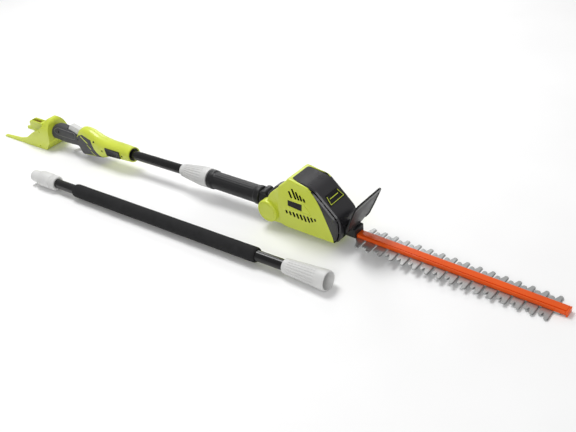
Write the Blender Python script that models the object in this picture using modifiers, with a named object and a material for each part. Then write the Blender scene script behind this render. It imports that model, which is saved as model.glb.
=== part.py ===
"""Cordless pole hedge trimmer with its loose extension pole, as an assembly of separate pieces.

Outlines are in millimetres in the tool's own frame: X runs along the main tube towards the blade tip
and is 0 at the first long tooth, Y is sideways, Z is up and 0 on the tube's centre line.
The empties below turn and place that frame, so that the whole object stands on the floor in metres.
"""
import math

import bmesh
import bpy
from mathutils import Matrix, Vector

MM = 0.001
GAP = 0.3
HALF_GAP = GAP / 2
ROUND_STEPS = 20
SMALL_STEPS = 10
SMOOTH_ANGLE = math.radians(35)
MERGE = 0.00001
OVER = 20.0

TOOL_PITCH = -0.00832
BLADE_PITCH = 0.0578
BLADE_ORIGIN = (0.0, 0.0, -36.05)

# Battery dock
DOCK_HALF_WIDTH = 38.0
DOCK_REAR = -1323.0
DOCK_FRONT = -1113.0
FAR_PRONG_END = -1300.0
DOCK_BASE = -50.0
DOCK_OUTLINE = [
    (DOCK_FRONT, DOCK_BASE), (-1086, -18), (-1084, 0), (-1085, 36), (-1090, 43), (-1097, 46.5), (-1104, 41),
    (-1113, 27), (-1127, 14), (-1165, -3), (-1202, -27), (-1240, -37), (-1300, -41), (-1320, -42.5),
]
DOCK_ARCH = [(38, -80), (38, -6), (35, 12), (28, 29), (17, 42), (6, 48.5)]
BAY_ARCH = [(31.5, -80), (31.5, -6), (28.5, 10), (22, 24), (12, 36), (5, 42)]
BAY_OUTLINE = [
    (-1117, -44), (-1092, -14), (-1091, 30), (-1094, 39.5), (-1098, 41.5), (-1102, 37.5), (-1111, 24),
    (-1125, 10.5), (-1142, 2.5), (-1142, 60), (-1350, 60), (-1350, -42),
]
U_CUT = [(-1350, 31), (-1268, 31), (-1245, 21), (-1224, 12), (-1216, 0)]

# Terminal tower inside the dock
TOWER_OUTLINE = [
    (-1200, 18.6), (-1143, 18.6), (-1143, -2), (-1118, -6), (-1118, -43.4), (-1168, -43.4), (-1184, -18),
    (-1207, -3.5), (-1207, 11),
]
TOWER_HALF_WIDTH = 11.0
TOWER_SLOT_HALF = 6.0
TOWER_SLOT_FLOOR = 5.0
TOWER_SLOT_REAR = -1199.0
TOWER_SLOT_FRONT = -1152.0
CONTACT_X = (-1196.0, -1168.0)
CONTACT_Y = 3.0
CONTACT_TOP = 15.0
CONTACT_THICK = 1.2

# Grip, wedge and front housing: X, lowest Z, highest Z, half width, squareness
BODY_STATIONS = [
    (-1083.6, -20.5, 24.5, 22.5, 2.0), (-1074, -22.5, 28.0, 20.0, 2.1), (-1062, -24.0, 31.0, 17.5, 2.5),
    (-1045, -23.6, 30.5, 16.5, 2.9), (-1012, -22.5, 26.0, 16.0, 3.0), (-986, -21.5, 19.5, 15.8, 3.0),
    (-977, -23.0, 15.5, 16.3, 3.0), (-967, -45.0, 31.0, 17.5, 3.0), (-957, -45.0, 39.5, 18.6, 2.8),
    (-948, -44.5, 43.5, 19.6, 2.7), (-935, -43.0, 45.3, 20.8, 2.6), (-920, -41.2, 43.5, 22.0, 2.5),
    (-900, -38.9, 36.5, 23.2, 2.4), (-884, -37.0, 30.5, 23.6, 2.3), (-872, -34.0, 27.8, 23.8, 2.2),
    (-855, -27.0, 25.0, 23.7, 2.1), (-841, -23.5, 23.5, 23.5, 2.0), (-795, -22.7, 22.7, 22.7, 2.0),
    (-752, -21.0, 21.0, 21.0, 2.0),
]
BODY_SIDES = 20
BODY_WALL = 2.8
COLOUR_LINE = [
    (-979, 90.0), (-978, 11.0), (-963, 21.0), (-942, 28.0), (-905, 20.0), (-896, -5.0), (-875, -32.0),
    (-868, -60.0),
]
LOCK_POCKET = [(-1023, 5), (-952, 5), (-952, 60), (-1023, 60)]
LOCK_POCKET_HALF = 7.6
TRIGGER_SLOT = [(-990, -41.2), (-940, -41.2), (-940, -16), (-990, -16)]
TRIGGER_SLOT_HALF = 6.8

TRIGGER_PIVOT = (-948.0, -31.0)
TRIGGER_OUTLINE = [
    (-1026, -49.0), (-1024, -47.0), (-1000, -38.5), (-975, -33.0), (-955, -27.5), (-950, -26.0),
    (-944, -27.5), (-930, -25.0), (-930, -28.0), (-942, -34.0), (-948, -36.5), (-958, -35.0), (-976, -37.0),
    (-1000, -42.3),
]
TRIGGER_HALF = 6.0
PIN_RADIUS = 2.0
TRIGGER_PIN_HALF = 12.0
SPRING_RADIUS = 3.6
SPRING_WIRE = 0.55
SPRING_TURNS = 3
SPRING_STEPS = 10
SPRING_PITCH = 1.25
SPRING_START = 7.2

LOCK_PIVOT = (-962.0, 22.0)
LOCK_OUTLINE = [(-1003, 42), (-959, 33), (-955, 22), (-962, 14), (-1008, 13), (-1019, 25)]
LOCK_HALF = 7.0
SWITCH_BOX = ((-938, -9, -20), (-908, 9, -1))

NAME_PLATE = [(-846, 10.5), (-788, 9.5), (-785, -10), (-842, -12)]
NAME_PLATE_Y = 24.6
NAME_PLATE_DEPTH = 5.0

BODY_SCREWS = [(-1056, 12.5, 16.4), (-971, 5.5, 16.4), (-893, 17, 22.0), (-861, -3, 23.6), (-780, -1, 22.2)]
SCREW_HEAD_RADIUS = 3.0
SCREW_SHANK_RADIUS = 1.7
SCREW_HEAD_DEPTH = 2.0
SCREW_LENGTH = 8.0
SCREW_SINK = 1.0
SCREW_HOLE_RADIUS = 3.5
SCREW_BORE_OVER = 6.0

# Shaft
TUBE_RADIUS = 12.7
TUBE_BORE = 11.2
TUBE_REAR = -815.0
TUBE_FRONT = -465.0
BUSHING_RADIUS = 17.6
BUSHING = (-776.0, -753.5)
LEAD_RADIUS = 3.0
PLUG = (-464.7, -420.0)
PLUG_RADIUS = 11.5
COLLAR_PROFILE = [(-562, 15), (-556, 17.3), (-525, 21), (-492, 25), (-480, 25.4), (-466, 25.4), (-463, 24)]
COLLAR_BORE = 13.1
SLEEVE_PITCH = 0.0218
SLEEVE_PIVOT_X = -485.0
SLEEVE_PROFILE = [
    (-461.8, 22.5), (-459.5, 24.6), (-447, 24.6), (-442, 22.2),
    (-308, 22.2), (-304, 23.8), (-293, 23.8), (-290, 21),
]
SLEEVE_BORE = [(-461.8, 13.3), (-415, 13.3), (-413, 18.4), (-290, 18.4)]

# Pivot between the shaft and the cutting head
PIVOT = (-246.0, -11.0)
KNUCKLE_RADIUS = 24.0
KNUCKLE_HALF = 21.8
NECK_RADIUS = 17.5
NECK = (-318.0, -258.0)
PIVOT_PIN_RADIUS = 5.0
PIVOT_PIN_HALF = 40.0
EAR_RADIUS = 28.0
EAR_INNER = 22.4
EAR_OUTER = 44.0
EAR_WEB = [
    (-246, 16.8), (-240, 30), (-229, 43), (-200, 66), (-190, 40), (-190, -38), (-220, -37.5), (-246, -38.8),
]
EAR_WEB_INNER = 23.0
EAR_WEB_OUTER = 38.0
LEVER_PIVOT = (-233.0, 25.0)
LEVER_OUTLINE = [
    (-265, 18), (-238, 42), (-222, 50), (-217, 47), (-222, 36), (-231, 18), (-238, 15.5), (-250, 14.5),
]
LEVER_HALF = 11.0
LEVER_PIN_RADIUS = 2.0
LEVER_PIN_HALF = 21.5
LEVER_HOLE_CLEARANCE = 0.4

# Cutting head
HEAD_HALF_WIDTH = 39.0
HEAD_WALL = 3.0
SHELL_ROUNDING = 3.5
COVER_ROUNDING = 11.0
HEAD_OUTLINE = [
    (-216, -36), (-200, -42), (-130, -44.5), (-60, -46.5), (-50, -41), (-42, -20), (-40, 5), (-43, 20),
    (-68, 47), (-88, 68), (-99, 79), (-118, 85), (-146, 90), (-171, 95.5), (-178, 87), (-205, 65), (-211, 40),
    (-217, 0),
]
HEAD_BORDER = [
    (-58, -90), (-60.5, -31), (-71.5, 1), (-82.5, 32), (-91, 53), (-103, 72.5), (-116, 82.6), (-117, 130),
]
COVER_TOP = [(-163.5, 0), (-163.5, 28), (-159, 31), (-147, 33), (-121, 36), (-108, 36), (-108, 0)]
COVER_TOP_FLOOR = 78.0
UPPER_VENTS = [
    (-171.5, 63.0, 18.5), (-161.5, 71.5, 27.5), (-151.5, 66.0, 22.0), (-141.5, 59.5, 15.5),
    (-131.5, 53.5, 9.5),
]
LOWER_VENT_START = (-188.6, 7.5)
LOWER_VENT_STEP = 10.25
LOWER_VENT_LENGTHS = [9.0, 11.0, 13.0, 14.5, 15.5, 16.5, 16.0, 12.0, 7.0]
VENT_WIDTH = 4.8
VENT_LEAN = 0.28
HEAD_PLATE = [(-179, 37), (-139, 35), (-142, 17), (-181, 22)]
HEAD_PLATE_DEPTH = 1.2
BLADE_MOUTH = [(-80, -40), (-20, -40), (-20, -5), (-80, -5)]
BLADE_MOUTH_HALF = 20.0
WINDOW_OUTLINE = [(-27, -13), (27, -13), (21, 13), (-21, 13)]
WINDOW_CENTRE = (-74.3, 53.6)
WINDOW_THICK = 2.4
WINDOW_INSET = 4.0

GUARD_FOOT = (-21.0, -6.6)
GUARD_LEAN = 0.4538
GUARD_OUTLINE = [
    (-17, 0), (17, 0), (24, 6), (45, 8), (49, 40), (51, 84), (48, 90), (40, 93.5), (-40, 93.5), (-48, 90),
    (-51, 84), (-49, 40), (-45, 8), (-24, 6),
]
GUARD_THICK = 3.0

# Drive, in the blade's own frame: S along the bar, N square to the blades
CRANK_S = -106.0
CRANK_GEAR_RADIUS = 22.0
GEAR_RANGE = (14.0, 20.0)
CRANK_SHAFT_RADIUS = 4.0
CRANK_HUB_RADIUS = 6.0
ECCENTRIC_RADIUS = 8.0
ECCENTRIC_OFFSET = 4.0
PINION_RADIUS = 5.0
PINION_GAP = 0.4
PINION_SHAFT_RADIUS = 2.5
PINION_S = CRANK_S - CRANK_GEAR_RADIUS - PINION_RADIUS - PINION_GAP
MOTOR_RADIUS = 25.0
MOTOR_RANGE = (28.0, 88.0)
PLATE_RANGE = (23.0, 27.0)
PLATE_OUTLINE = [(-172, -30), (-72, -30), (-72, 30), (-172, 30)]

# Blades and support bar
BLADE_THICK = 1.6
LOWER_BLADE_BASE = -0.8
UPPER_BLADE_BASE = LOWER_BLADE_BASE + BLADE_THICK + GAP
TOOTH_PITCH = 28.97
TOOTH_COUNT = 16
SHORT_TOOTH_LEAD = 14.6
SPINE_HALF = 10.0
LONG_TIP = 39.7
SHORT_TIP = 31.7
LONG_TOOTH = [
    (-9.5, 23), (-5.0, 34), (-3.6, LONG_TIP), (2.6, LONG_TIP), (3.9, 37.5), (3.6, SPINE_HALF),
]
SHORT_TOOTH = [(-5.0, SPINE_HALF), (-4.6, 29.5), (-3.0, SHORT_TIP), (3.2, SHORT_TIP)]
LOWER_BLADE_SHIFT = 1.2
BLADE_TAIL = -132.0
BLADE_END = 452.0
TAIL_HALF = 16.0
TAIL_FRONT = -62.0
YOKE_HALF_LENGTH = 22.0
YOKE_HALF_WIDTH = 12.6
BLADE_STROKE = 7.0
BAR_HALF = 10.7
BAR_RANGE = (3.0, 12.4)
BAR_S = (-56.0, 463.0)
BAR_GROOVE_HALF = 1.2
BAR_GROOVE_Y = -7.5
BAR_GROOVE_DEPTH = 2.4
TIP_S = (463.3, 467.0)
PIN_COUNT = 5
FIRST_PIN_S = 45.0
PIN_SPACING = 95.0
GUIDE_PIN_RADIUS = 2.5
GUIDE_PIN_TOP = 10.0
GUIDE_PIN_BASE = -0.6
ROOT_BLOCK_S = (-52.0, -15.0)
ROOT_BLOCK_HALF = 17.0
ROOT_BLOCK_TOP = 27.0

# Extension pole
POLE_YAW = 0.00949
POLE_REAR_HEIGHT = 21.0
POLE_FRONT_HEIGHT = 23.0
POLE_REAR_X = -955.0
POLE_FRONT_X = 18.0
POLE_SIDE_Y = -164.3
FLOOR_AT_ZERO = DOCK_BASE + TOOL_PITCH * (0.0 - DOCK_FRONT)
POLE_TUBE = (-975.0, -86.0)
POLE_RING = [(-899.7, 19.0), (-897, 20.2), (-884, 20.2), (-880, 17)]
POLE_COUPLER = [(-981, 14.5), (-979, 16), (-951, 16), (-949, 19), (-946, 21), (-910, 21), (-900, 19.5)]
FOAM_PROFILE = [(-802, 15.2), (-797, 17.97), (-181, 17.97), (-176, 15.2)]
FOAM_BORE = 13.0
BELL_PROFILE = [(-97, 16.5), (-60, 18.4), (-20, 21.0), (-2, 22.6), (4, 23.0), (16, 23.0), (18, 22.0)]
BELL_BORE = [(-97, 13.1), (-60, 13.1), (-58, 15.5), (18, 19.4)]
SOCKET_RADIUS = 12.4
SOCKET_BORE = 8.5
SOCKET = (-85.7, -58.0)

LIME = (0.66, 0.74, 0.045)
DARK_GREY = (0.09, 0.09, 0.095)
BLACK = (0.022, 0.022, 0.024)
WHITE = (0.80, 0.80, 0.79)
STEEL = (0.62, 0.63, 0.63)
ORANGE = (0.86, 0.14, 0.015)
FOAM = (0.03, 0.03, 0.031)
COPPER = (0.70, 0.42, 0.25)


def clear_scene():
    for obj in list(bpy.data.objects):
        bpy.data.objects.remove(obj, do_unlink=True)


def new_collection(name):
    collection = bpy.data.collections.new(name)
    bpy.context.scene.collection.children.link(collection)
    return collection


def new_empty(name, parent, location=(0.0, 0.0, 0.0), rotation=(0.0, 0.0, 0.0)):
    empty = bpy.data.objects.new(name, None)
    parts.objects.link(empty)
    empty.parent = parent
    empty.location = Vector(location) * MM
    empty.rotation_euler = rotation
    return empty


def new_material(name, colour, roughness, metallic=0.0):
    material = bpy.data.materials.new(name)
    material.use_nodes = True
    shader = material.node_tree.nodes["Principled BSDF"]
    shader.inputs["Base Color"].default_value = (*colour, 1.0)
    shader.inputs["Roughness"].default_value = roughness
    shader.inputs["Metallic"].default_value = metallic
    return material


def finish_object(obj, parent, finish=None):
    """Link a new object as a part if it has a finish, or as a cutter if it hasn't."""
    obj.parent = parent
    if finish is None:
        cutters.objects.link(obj)
        obj.hide_render = True
        obj.display_type = "WIRE"
        return obj
    parts.objects.link(obj)
    colour, roughness, metallic = finish
    obj.data.materials.append(new_material(obj.name + "_finish", colour, roughness, metallic))
    return obj


def shade_round(mesh):
    mesh.shade_smooth()
    mesh.set_sharp_from_angle(angle=SMOOTH_ANGLE)


def outline_mesh(name, points, low, high, turn):
    """Fill a flat outline, thicken it from low to high, and turn it into place as a mesh."""
    curve = bpy.data.curves.new(name, "CURVE")
    curve.dimensions = "2D"
    curve.fill_mode = "BOTH"
    curve.extrude = (high - low) / 2 * MM
    spline = curve.splines.new("POLY")
    spline.points.add(len(points) - 1)
    for spline_point, (across, up) in zip(spline.points, points):
        spline_point.co = (across * MM, up * MM, 0.0, 1.0)
    spline.use_cyclic_u = True
    guide = bpy.data.objects.new(name + "_curve", curve)
    bpy.context.scene.collection.objects.link(guide)
    depsgraph = bpy.context.evaluated_depsgraph_get()
    mesh = bpy.data.meshes.new_from_object(guide.evaluated_get(depsgraph))
    bpy.data.objects.remove(guide, do_unlink=True)
    bpy.data.curves.remove(curve)
    mesh.transform(Matrix.Translation((0.0, 0.0, (high + low) / 2 * MM)))
    mesh.transform(turn)
    shape = bmesh.new()
    shape.from_mesh(mesh)
    bmesh.ops.remove_doubles(shape, verts=shape.verts, dist=MERGE)
    bmesh.ops.recalc_face_normals(shape, faces=shape.faces)
    shape.to_mesh(mesh)
    shape.free()
    mesh.name = name
    return mesh


SIDE_TURN = Matrix(((1, 0, 0, 0), (0, 0, 1, 0), (0, 1, 0, 0), (0, 0, 0, 1)))
FRONT_TURN = Matrix(((0, 0, 1, 0), (1, 0, 0, 0), (0, 1, 0, 0), (0, 0, 0, 1)))
PLAN_TURN = Matrix.Identity(4)


def side_solid(name, points, y_low, y_high, parent, finish=None, pivot=(0.0, 0.0)):
    """A solid with an X-Z outline, standing between two sides. Its origin is on the pivot."""
    local = [(x - pivot[0], z - pivot[1]) for x, z in points]
    obj = bpy.data.objects.new(name, outline_mesh(name, local, y_low, y_high, SIDE_TURN))
    obj.location = (pivot[0] * MM, 0.0, pivot[1] * MM)
    return finish_object(obj, parent, finish)


def front_solid(name, points, x_low, x_high, parent, finish=None):
    obj = bpy.data.objects.new(name, outline_mesh(name, points, x_low, x_high, FRONT_TURN))
    return finish_object(obj, parent, finish)


def plan_solid(name, points, z_low, z_high, parent, finish=None):
    obj = bpy.data.objects.new(name, outline_mesh(name, points, z_low, z_high, PLAN_TURN))
    return finish_object(obj, parent, finish)


def box(name, low, high, parent, finish=None):
    mesh = bpy.data.meshes.new(name)
    shape = bmesh.new()
    bmesh.ops.create_cube(shape, size=1.0)
    low, high = Vector(low) * MM, Vector(high) * MM
    size = high - low
    bmesh.ops.scale(shape, vec=size, verts=shape.verts)
    bmesh.ops.translate(shape, vec=(low + high) / 2, verts=shape.verts)
    shape.to_mesh(mesh)
    shape.free()
    return finish_object(bpy.data.objects.new(name, mesh), parent, finish)


def turned(name, outer, bore, parent, finish=None, location=(0, 0, 0), rotation=(0, 0, 0), steps=ROUND_STEPS):
    """Turn a profile about an axis. Stations run along the axis, which is local Z before the rotation."""
    run = [(radius, along) for along, radius in reversed(outer)]
    if bore:
        run += [(radius, along) for along, radius in bore]
    else:
        run = [(0.0, outer[-1][0])] + run + [(0.0, outer[0][0])]
    mesh = bpy.data.meshes.new(name)
    shape = bmesh.new()
    verts = [shape.verts.new((radius * MM, 0.0, along * MM)) for radius, along in run]
    for first, second in zip(verts, verts[1:]):
        shape.edges.new((first, second))
    if bore:
        shape.edges.new((verts[-1], verts[0]))
    shape.to_mesh(mesh)
    shape.free()
    obj = bpy.data.objects.new(name, mesh)
    screw = obj.modifiers.new("Turn", "SCREW")
    screw.angle = math.tau
    screw.steps = steps
    screw.render_steps = steps
    screw.use_merge_vertices = True
    screw.merge_threshold = MERGE
    screw.use_smooth_shade = False
    obj.location = Vector(location) * MM
    obj.rotation_euler = rotation
    return finish_object(obj, parent, finish)


ALONG_X = (0.0, math.pi / 2, 0.0)
ALONG_Y = (-math.pi / 2, 0.0, 0.0)


def rod(
    name, radius, low, high, parent, finish=None, location=(0, 0, 0), rotation=(0, 0, 0), steps=ROUND_STEPS
):
    """A plain cylinder from low to high along its axis, which is local Z before the rotation."""
    mesh = bpy.data.meshes.new(name)
    shape = bmesh.new()
    size = radius * MM
    depth = (high - low) * MM
    bmesh.ops.create_cone(shape, cap_ends=True, segments=steps, radius1=size, radius2=size, depth=depth)
    bmesh.ops.translate(shape, vec=(0.0, 0.0, (low + high) / 2 * MM), verts=shape.verts)
    shape.to_mesh(mesh)
    shape.free()
    obj = bpy.data.objects.new(name, mesh)
    obj.location = Vector(location) * MM
    obj.rotation_euler = rotation
    return finish_object(obj, parent, finish)


def section_ring(station, shrink, sides):
    """The points round one rounded section of the handle body."""
    x, z_low, z_high, half_width, squareness = station
    half_height = (z_high - z_low) / 2 - shrink
    points = []
    for index in range(sides):
        angle = math.tau * index / sides
        across = math.copysign(abs(math.cos(angle)) ** (2 / squareness), math.cos(angle))
        up = math.copysign(abs(math.sin(angle)) ** (2 / squareness), math.sin(angle))
        points.append((x, across * (half_width - shrink), (z_low + z_high) / 2 + up * half_height))
    return points


def loft(name, stations, shrink, parent, finish=None):
    """Skin a row of unlike sections, closed at both ends."""
    mesh = bpy.data.meshes.new(name)
    shape = bmesh.new()
    rings = []
    for station in stations:
        points = section_ring(station, shrink, BODY_SIDES)
        rings.append([shape.verts.new(Vector(point) * MM) for point in points])
    for here, ahead in zip(rings, rings[1:]):
        for index in range(BODY_SIDES):
            after = (index + 1) % BODY_SIDES
            shape.faces.new((here[index], ahead[index], ahead[after], here[after]))
    shape.faces.new(rings[0])
    shape.faces.new(list(reversed(rings[-1])))
    bmesh.ops.triangulate(shape, faces=shape.faces)
    bmesh.ops.recalc_face_normals(shape, faces=shape.faces)
    shape.to_mesh(mesh)
    shape.free()
    return finish_object(bpy.data.objects.new(name, mesh), parent, finish)


def change(obj, cutter, operation):
    modifier = obj.modifiers.new(operation.title(), "BOOLEAN")
    modifier.operation = operation
    modifier.solver = "EXACT"
    modifier.object = cutter


def cut(obj, *tools):
    for tool_object in tools:
        change(obj, tool_object, "DIFFERENCE")


def keep(obj, *tools):
    for tool_object in tools:
        change(obj, tool_object, "INTERSECT")


def join(obj, *tools):
    for tool_object in tools:
        change(obj, tool_object, "UNION")


def round_edges(obj, width, segments, angle):
    modifier = obj.modifiers.new("Rounding", "BEVEL")
    modifier.width = width * MM
    modifier.segments = segments
    modifier.limit_method = "ANGLE"
    modifier.angle_limit = angle


def inset(points, distance):
    """Move every side of a closed outline inward by the same distance."""
    count = len(points)
    corners = [Vector(point) for point in points]
    doubled_area = 0.0
    for index, corner in enumerate(corners):
        following = corners[(index + 1) % count]
        doubled_area += corner.x * following.y - following.x * corner.y
    turn = math.copysign(1.0, doubled_area)
    result = []
    for index in range(count):
        before = (corners[index] - corners[index - 1]).normalized()
        after = (corners[(index + 1) % count] - corners[index]).normalized()
        normal_before = Vector((-before.y, before.x)) * turn
        normal_after = Vector((-after.y, after.x)) * turn
        mitre = (normal_before + normal_after) / (1.0 + normal_before.dot(normal_after))
        moved = corners[index] + mitre * distance
        result.append((moved.x, moved.y))
    return result


def mirrored(points):
    """Complete a half outline (first value positive) with its mirror image."""
    other_half = [(-across, up) for across, up in reversed(points) if across > 0.0]
    return points + other_half


def mirrored_across(points):
    """Complete an X-Y half outline with its mirror image across Y = 0."""
    other_half = [(along, -across) for along, across in reversed(points) if across > 0.0]
    return points + other_half


def shifted(points, dx, dy=0.0):
    return [(x + dx, y + dy) for x, y in points]


def floor_height(x):
    """The floor under the tool, seen from its own tilted frame."""
    return DOCK_BASE + TOOL_PITCH * (x - DOCK_FRONT)


def side_keepers(parent):
    """Half spaces that split a body into its right (-Y) and left (+Y) shells."""
    far, reach = 3000.0, 400.0
    right = box("keep_right", (-far, -reach, -reach), (far, -HALF_GAP, reach), parent)
    left = box("keep_left", (-far, HALF_GAP, -reach), (far, reach, reach), parent)
    return {"right": right, "left": left}


LIME_FINISH = (LIME, 0.38, 0.0)
GREY_FINISH = (DARK_GREY, 0.55, 0.0)
BLACK_FINISH = (BLACK, 0.35, 0.0)
WHITE_FINISH = (WHITE, 0.45, 0.0)
STEEL_FINISH = (STEEL, 0.3, 1.0)
ORANGE_FINISH = (ORANGE, 0.35, 0.3)
FOAM_FINISH = (FOAM, 0.95, 0.0)
COPPER_FINISH = (COPPER, 0.3, 1.0)


def build_dock(tool, halves):
    outline = DOCK_OUTLINE + [(DOCK_REAR, -45.0), (DOCK_REAR + 1, floor_height(DOCK_REAR + 1))]
    arch = front_solid("dock_arch", mirrored(DOCK_ARCH), DOCK_REAR - OVER, -1000.0, tool)
    bay = side_solid("bay_cut", BAY_OUTLINE, -60.0, 60.0, tool)
    bay_arch = front_solid("bay_arch", mirrored(BAY_ARCH), DOCK_REAR - OVER, -1050.0, tool)
    keep(bay, bay_arch)
    notch = plan_solid("dock_notch", mirrored_across(U_CUT), -90.0, 90.0, tool)
    for side, half in halves.items():
        reach = DOCK_HALF_WIDTH + 1
        shell = side_solid("dock_" + side, outline, -reach, reach, tool, LIME_FINISH)
        keep(shell, arch)
        cut(shell, bay, notch)
        keep(shell, half)
    cut(bpy.data.objects["dock_left"], box("far_prong_end", (-1400, 1, -90), (FAR_PRONG_END, 60, 90), tool))
    reach = TOWER_HALF_WIDTH
    tower = side_solid("terminal_block", TOWER_OUTLINE, -reach, reach, tool, LIME_FINISH)
    slot_low = (TOWER_SLOT_REAR, -TOWER_SLOT_HALF, TOWER_SLOT_FLOOR)
    slot_high = (TOWER_SLOT_FRONT, TOWER_SLOT_HALF, TOWER_OUTLINE[0][1] + OVER)
    cut(tower, box("tower_slot", slot_low, slot_high, tool))
    for name, y in (("contact_positive", CONTACT_Y), ("contact_negative", -CONTACT_Y)):
        low = (CONTACT_X[0], y - CONTACT_THICK / 2, TOWER_SLOT_FLOOR + GAP)
        high = (CONTACT_X[1], y + CONTACT_THICK / 2, CONTACT_TOP)
        box(name, low, high, tool, COPPER_FINISH)


def screw_cutters(tool):
    """Bored recesses for the body screws, all on the right side."""
    bores = []
    for number, (x, z, y) in enumerate(BODY_SCREWS):
        low = -y - SCREW_BORE_OVER
        high = -y + SCREW_LENGTH
        name = "screw_bore_%d" % number
        bores.append(rod(name, SCREW_HOLE_RADIUS, low, high, tool, None, (x, 0, z), ALONG_Y, SMALL_STEPS))
    return bores


def build_handle(tool, halves):
    inner = loft("body_hollow", BODY_STATIONS[1:-1], BODY_WALL, tool)
    tube_hole = rod("tube_hole", BUSHING_RADIUS + GAP, -830.0, -700.0, tool, None, (0, 0, 0), ALONG_X)
    pocket = side_solid("lock_pocket", LOCK_POCKET, -LOCK_POCKET_HALF, LOCK_POCKET_HALF, tool)
    slot = side_solid("trigger_slot", TRIGGER_SLOT, -TRIGGER_SLOT_HALF, TRIGGER_SLOT_HALF, tool)
    bores = screw_cutters(tool)
    above = COLOUR_LINE + [(-700, -60), (-700, 90)]
    below = [(-1100, 90), (-1100, -90), (-868, -90)]
    lime_region = side_solid("lime_region", shifted(above, HALF_GAP, HALF_GAP), -60, 60, tool)
    grey_points = shifted(COLOUR_LINE[::-1] + below, -HALF_GAP, -HALF_GAP)
    grey_region = side_solid("grey_region", grey_points, -60, 60, tool)
    groups = (("grip", grey_region, GREY_FINISH), ("front_housing", lime_region, LIME_FINISH))
    for name, region, finish in groups:
        for side, half in halves.items():
            shell = loft("%s_%s" % (name, side), BODY_STATIONS, 0.0, tool, finish)
            shade_round(shell.data)
            cut(shell, inner)
            keep(shell, region)
            cut(shell, tube_hole if name == "front_housing" else slot, pocket)
            if side == "right":
                wanted = bores[:2] if name == "grip" else bores[2:]
                cut(shell, *wanted)
            keep(shell, half)
    for number, (x, z, y) in enumerate(BODY_SCREWS, start=1):
        head = y - SCREW_SINK
        profile = [
            (-head, SCREW_HEAD_RADIUS), (-head + SCREW_HEAD_DEPTH, SCREW_HEAD_RADIUS),
            (-head + SCREW_HEAD_DEPTH, SCREW_SHANK_RADIUS), (-head + SCREW_LENGTH, SCREW_SHANK_RADIUS),
        ]
        turned("screw_%d" % number, profile, None, tool, STEEL_FINISH, (x, 0, z), ALONG_Y, SMALL_STEPS)


def build_controls(tool):
    span = (-TRIGGER_HALF, TRIGGER_HALF)
    trigger = side_solid("trigger", TRIGGER_OUTLINE, *span, tool, WHITE_FINISH, TRIGGER_PIVOT)
    pivot = (TRIGGER_PIVOT[0], 0, TRIGGER_PIVOT[1])
    reach = TRIGGER_HALF + 1.0
    cut(trigger, rod("trigger_eye", PIN_RADIUS + GAP, -reach, reach, tool, None, pivot, ALONG_Y, SMALL_STEPS))
    half = TRIGGER_PIN_HALF
    rod("trigger_pin", PIN_RADIUS, -half, half, tool, STEEL_FINISH, pivot, ALONG_Y, SMALL_STEPS)
    build_spring(tool, pivot)
    lock = side_solid("lock_off_lever", LOCK_OUTLINE, -LOCK_HALF, LOCK_HALF, tool, WHITE_FINISH, LOCK_PIVOT)
    round_edges(lock, 1.2, 1, math.radians(40))
    box("switch_body", *SWITCH_BOX, tool, BLACK_FINISH)


def build_spring(tool, pivot):
    """The torsion spring beside the trigger's hub."""
    curve = bpy.data.curves.new("trigger_spring", "CURVE")
    curve.dimensions = "3D"
    curve.bevel_depth = SPRING_WIRE * MM
    curve.bevel_resolution = 0
    curve.use_fill_caps = True
    spline = curve.splines.new("POLY")
    count = SPRING_TURNS * SPRING_STEPS + 1
    spline.points.add(count - 1)
    for index, point in enumerate(spline.points):
        angle = math.tau * index / SPRING_STEPS
        along = SPRING_START + SPRING_PITCH * index / SPRING_STEPS
        size = SPRING_RADIUS * MM
        point.co = (math.cos(angle) * size, along * MM, math.sin(angle) * size, 1.0)
    guide = bpy.data.objects.new("spring_curve", curve)
    bpy.context.scene.collection.objects.link(guide)
    mesh = bpy.data.meshes.new_from_object(guide.evaluated_get(bpy.context.evaluated_depsgraph_get()))
    bpy.data.objects.remove(guide, do_unlink=True)
    shape = bmesh.new()
    shape.from_mesh(mesh)
    bmesh.ops.remove_doubles(shape, verts=shape.verts, dist=MERGE)
    bmesh.ops.recalc_face_normals(shape, faces=shape.faces)
    shape.to_mesh(mesh)
    shape.free()
    obj = bpy.data.objects.new("trigger_spring", mesh)
    obj.location = Vector(pivot) * MM
    finish_object(obj, tool, STEEL_FINISH)


def build_name_plate(tool):
    back = NAME_PLATE_DEPTH - NAME_PLATE_Y
    plate = side_solid("name_plate", NAME_PLATE, -NAME_PLATE_Y, back, tool, BLACK_FINISH)
    cut(plate, loft("plate_seat", BODY_STATIONS[-4:], -GAP, tool))


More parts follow.
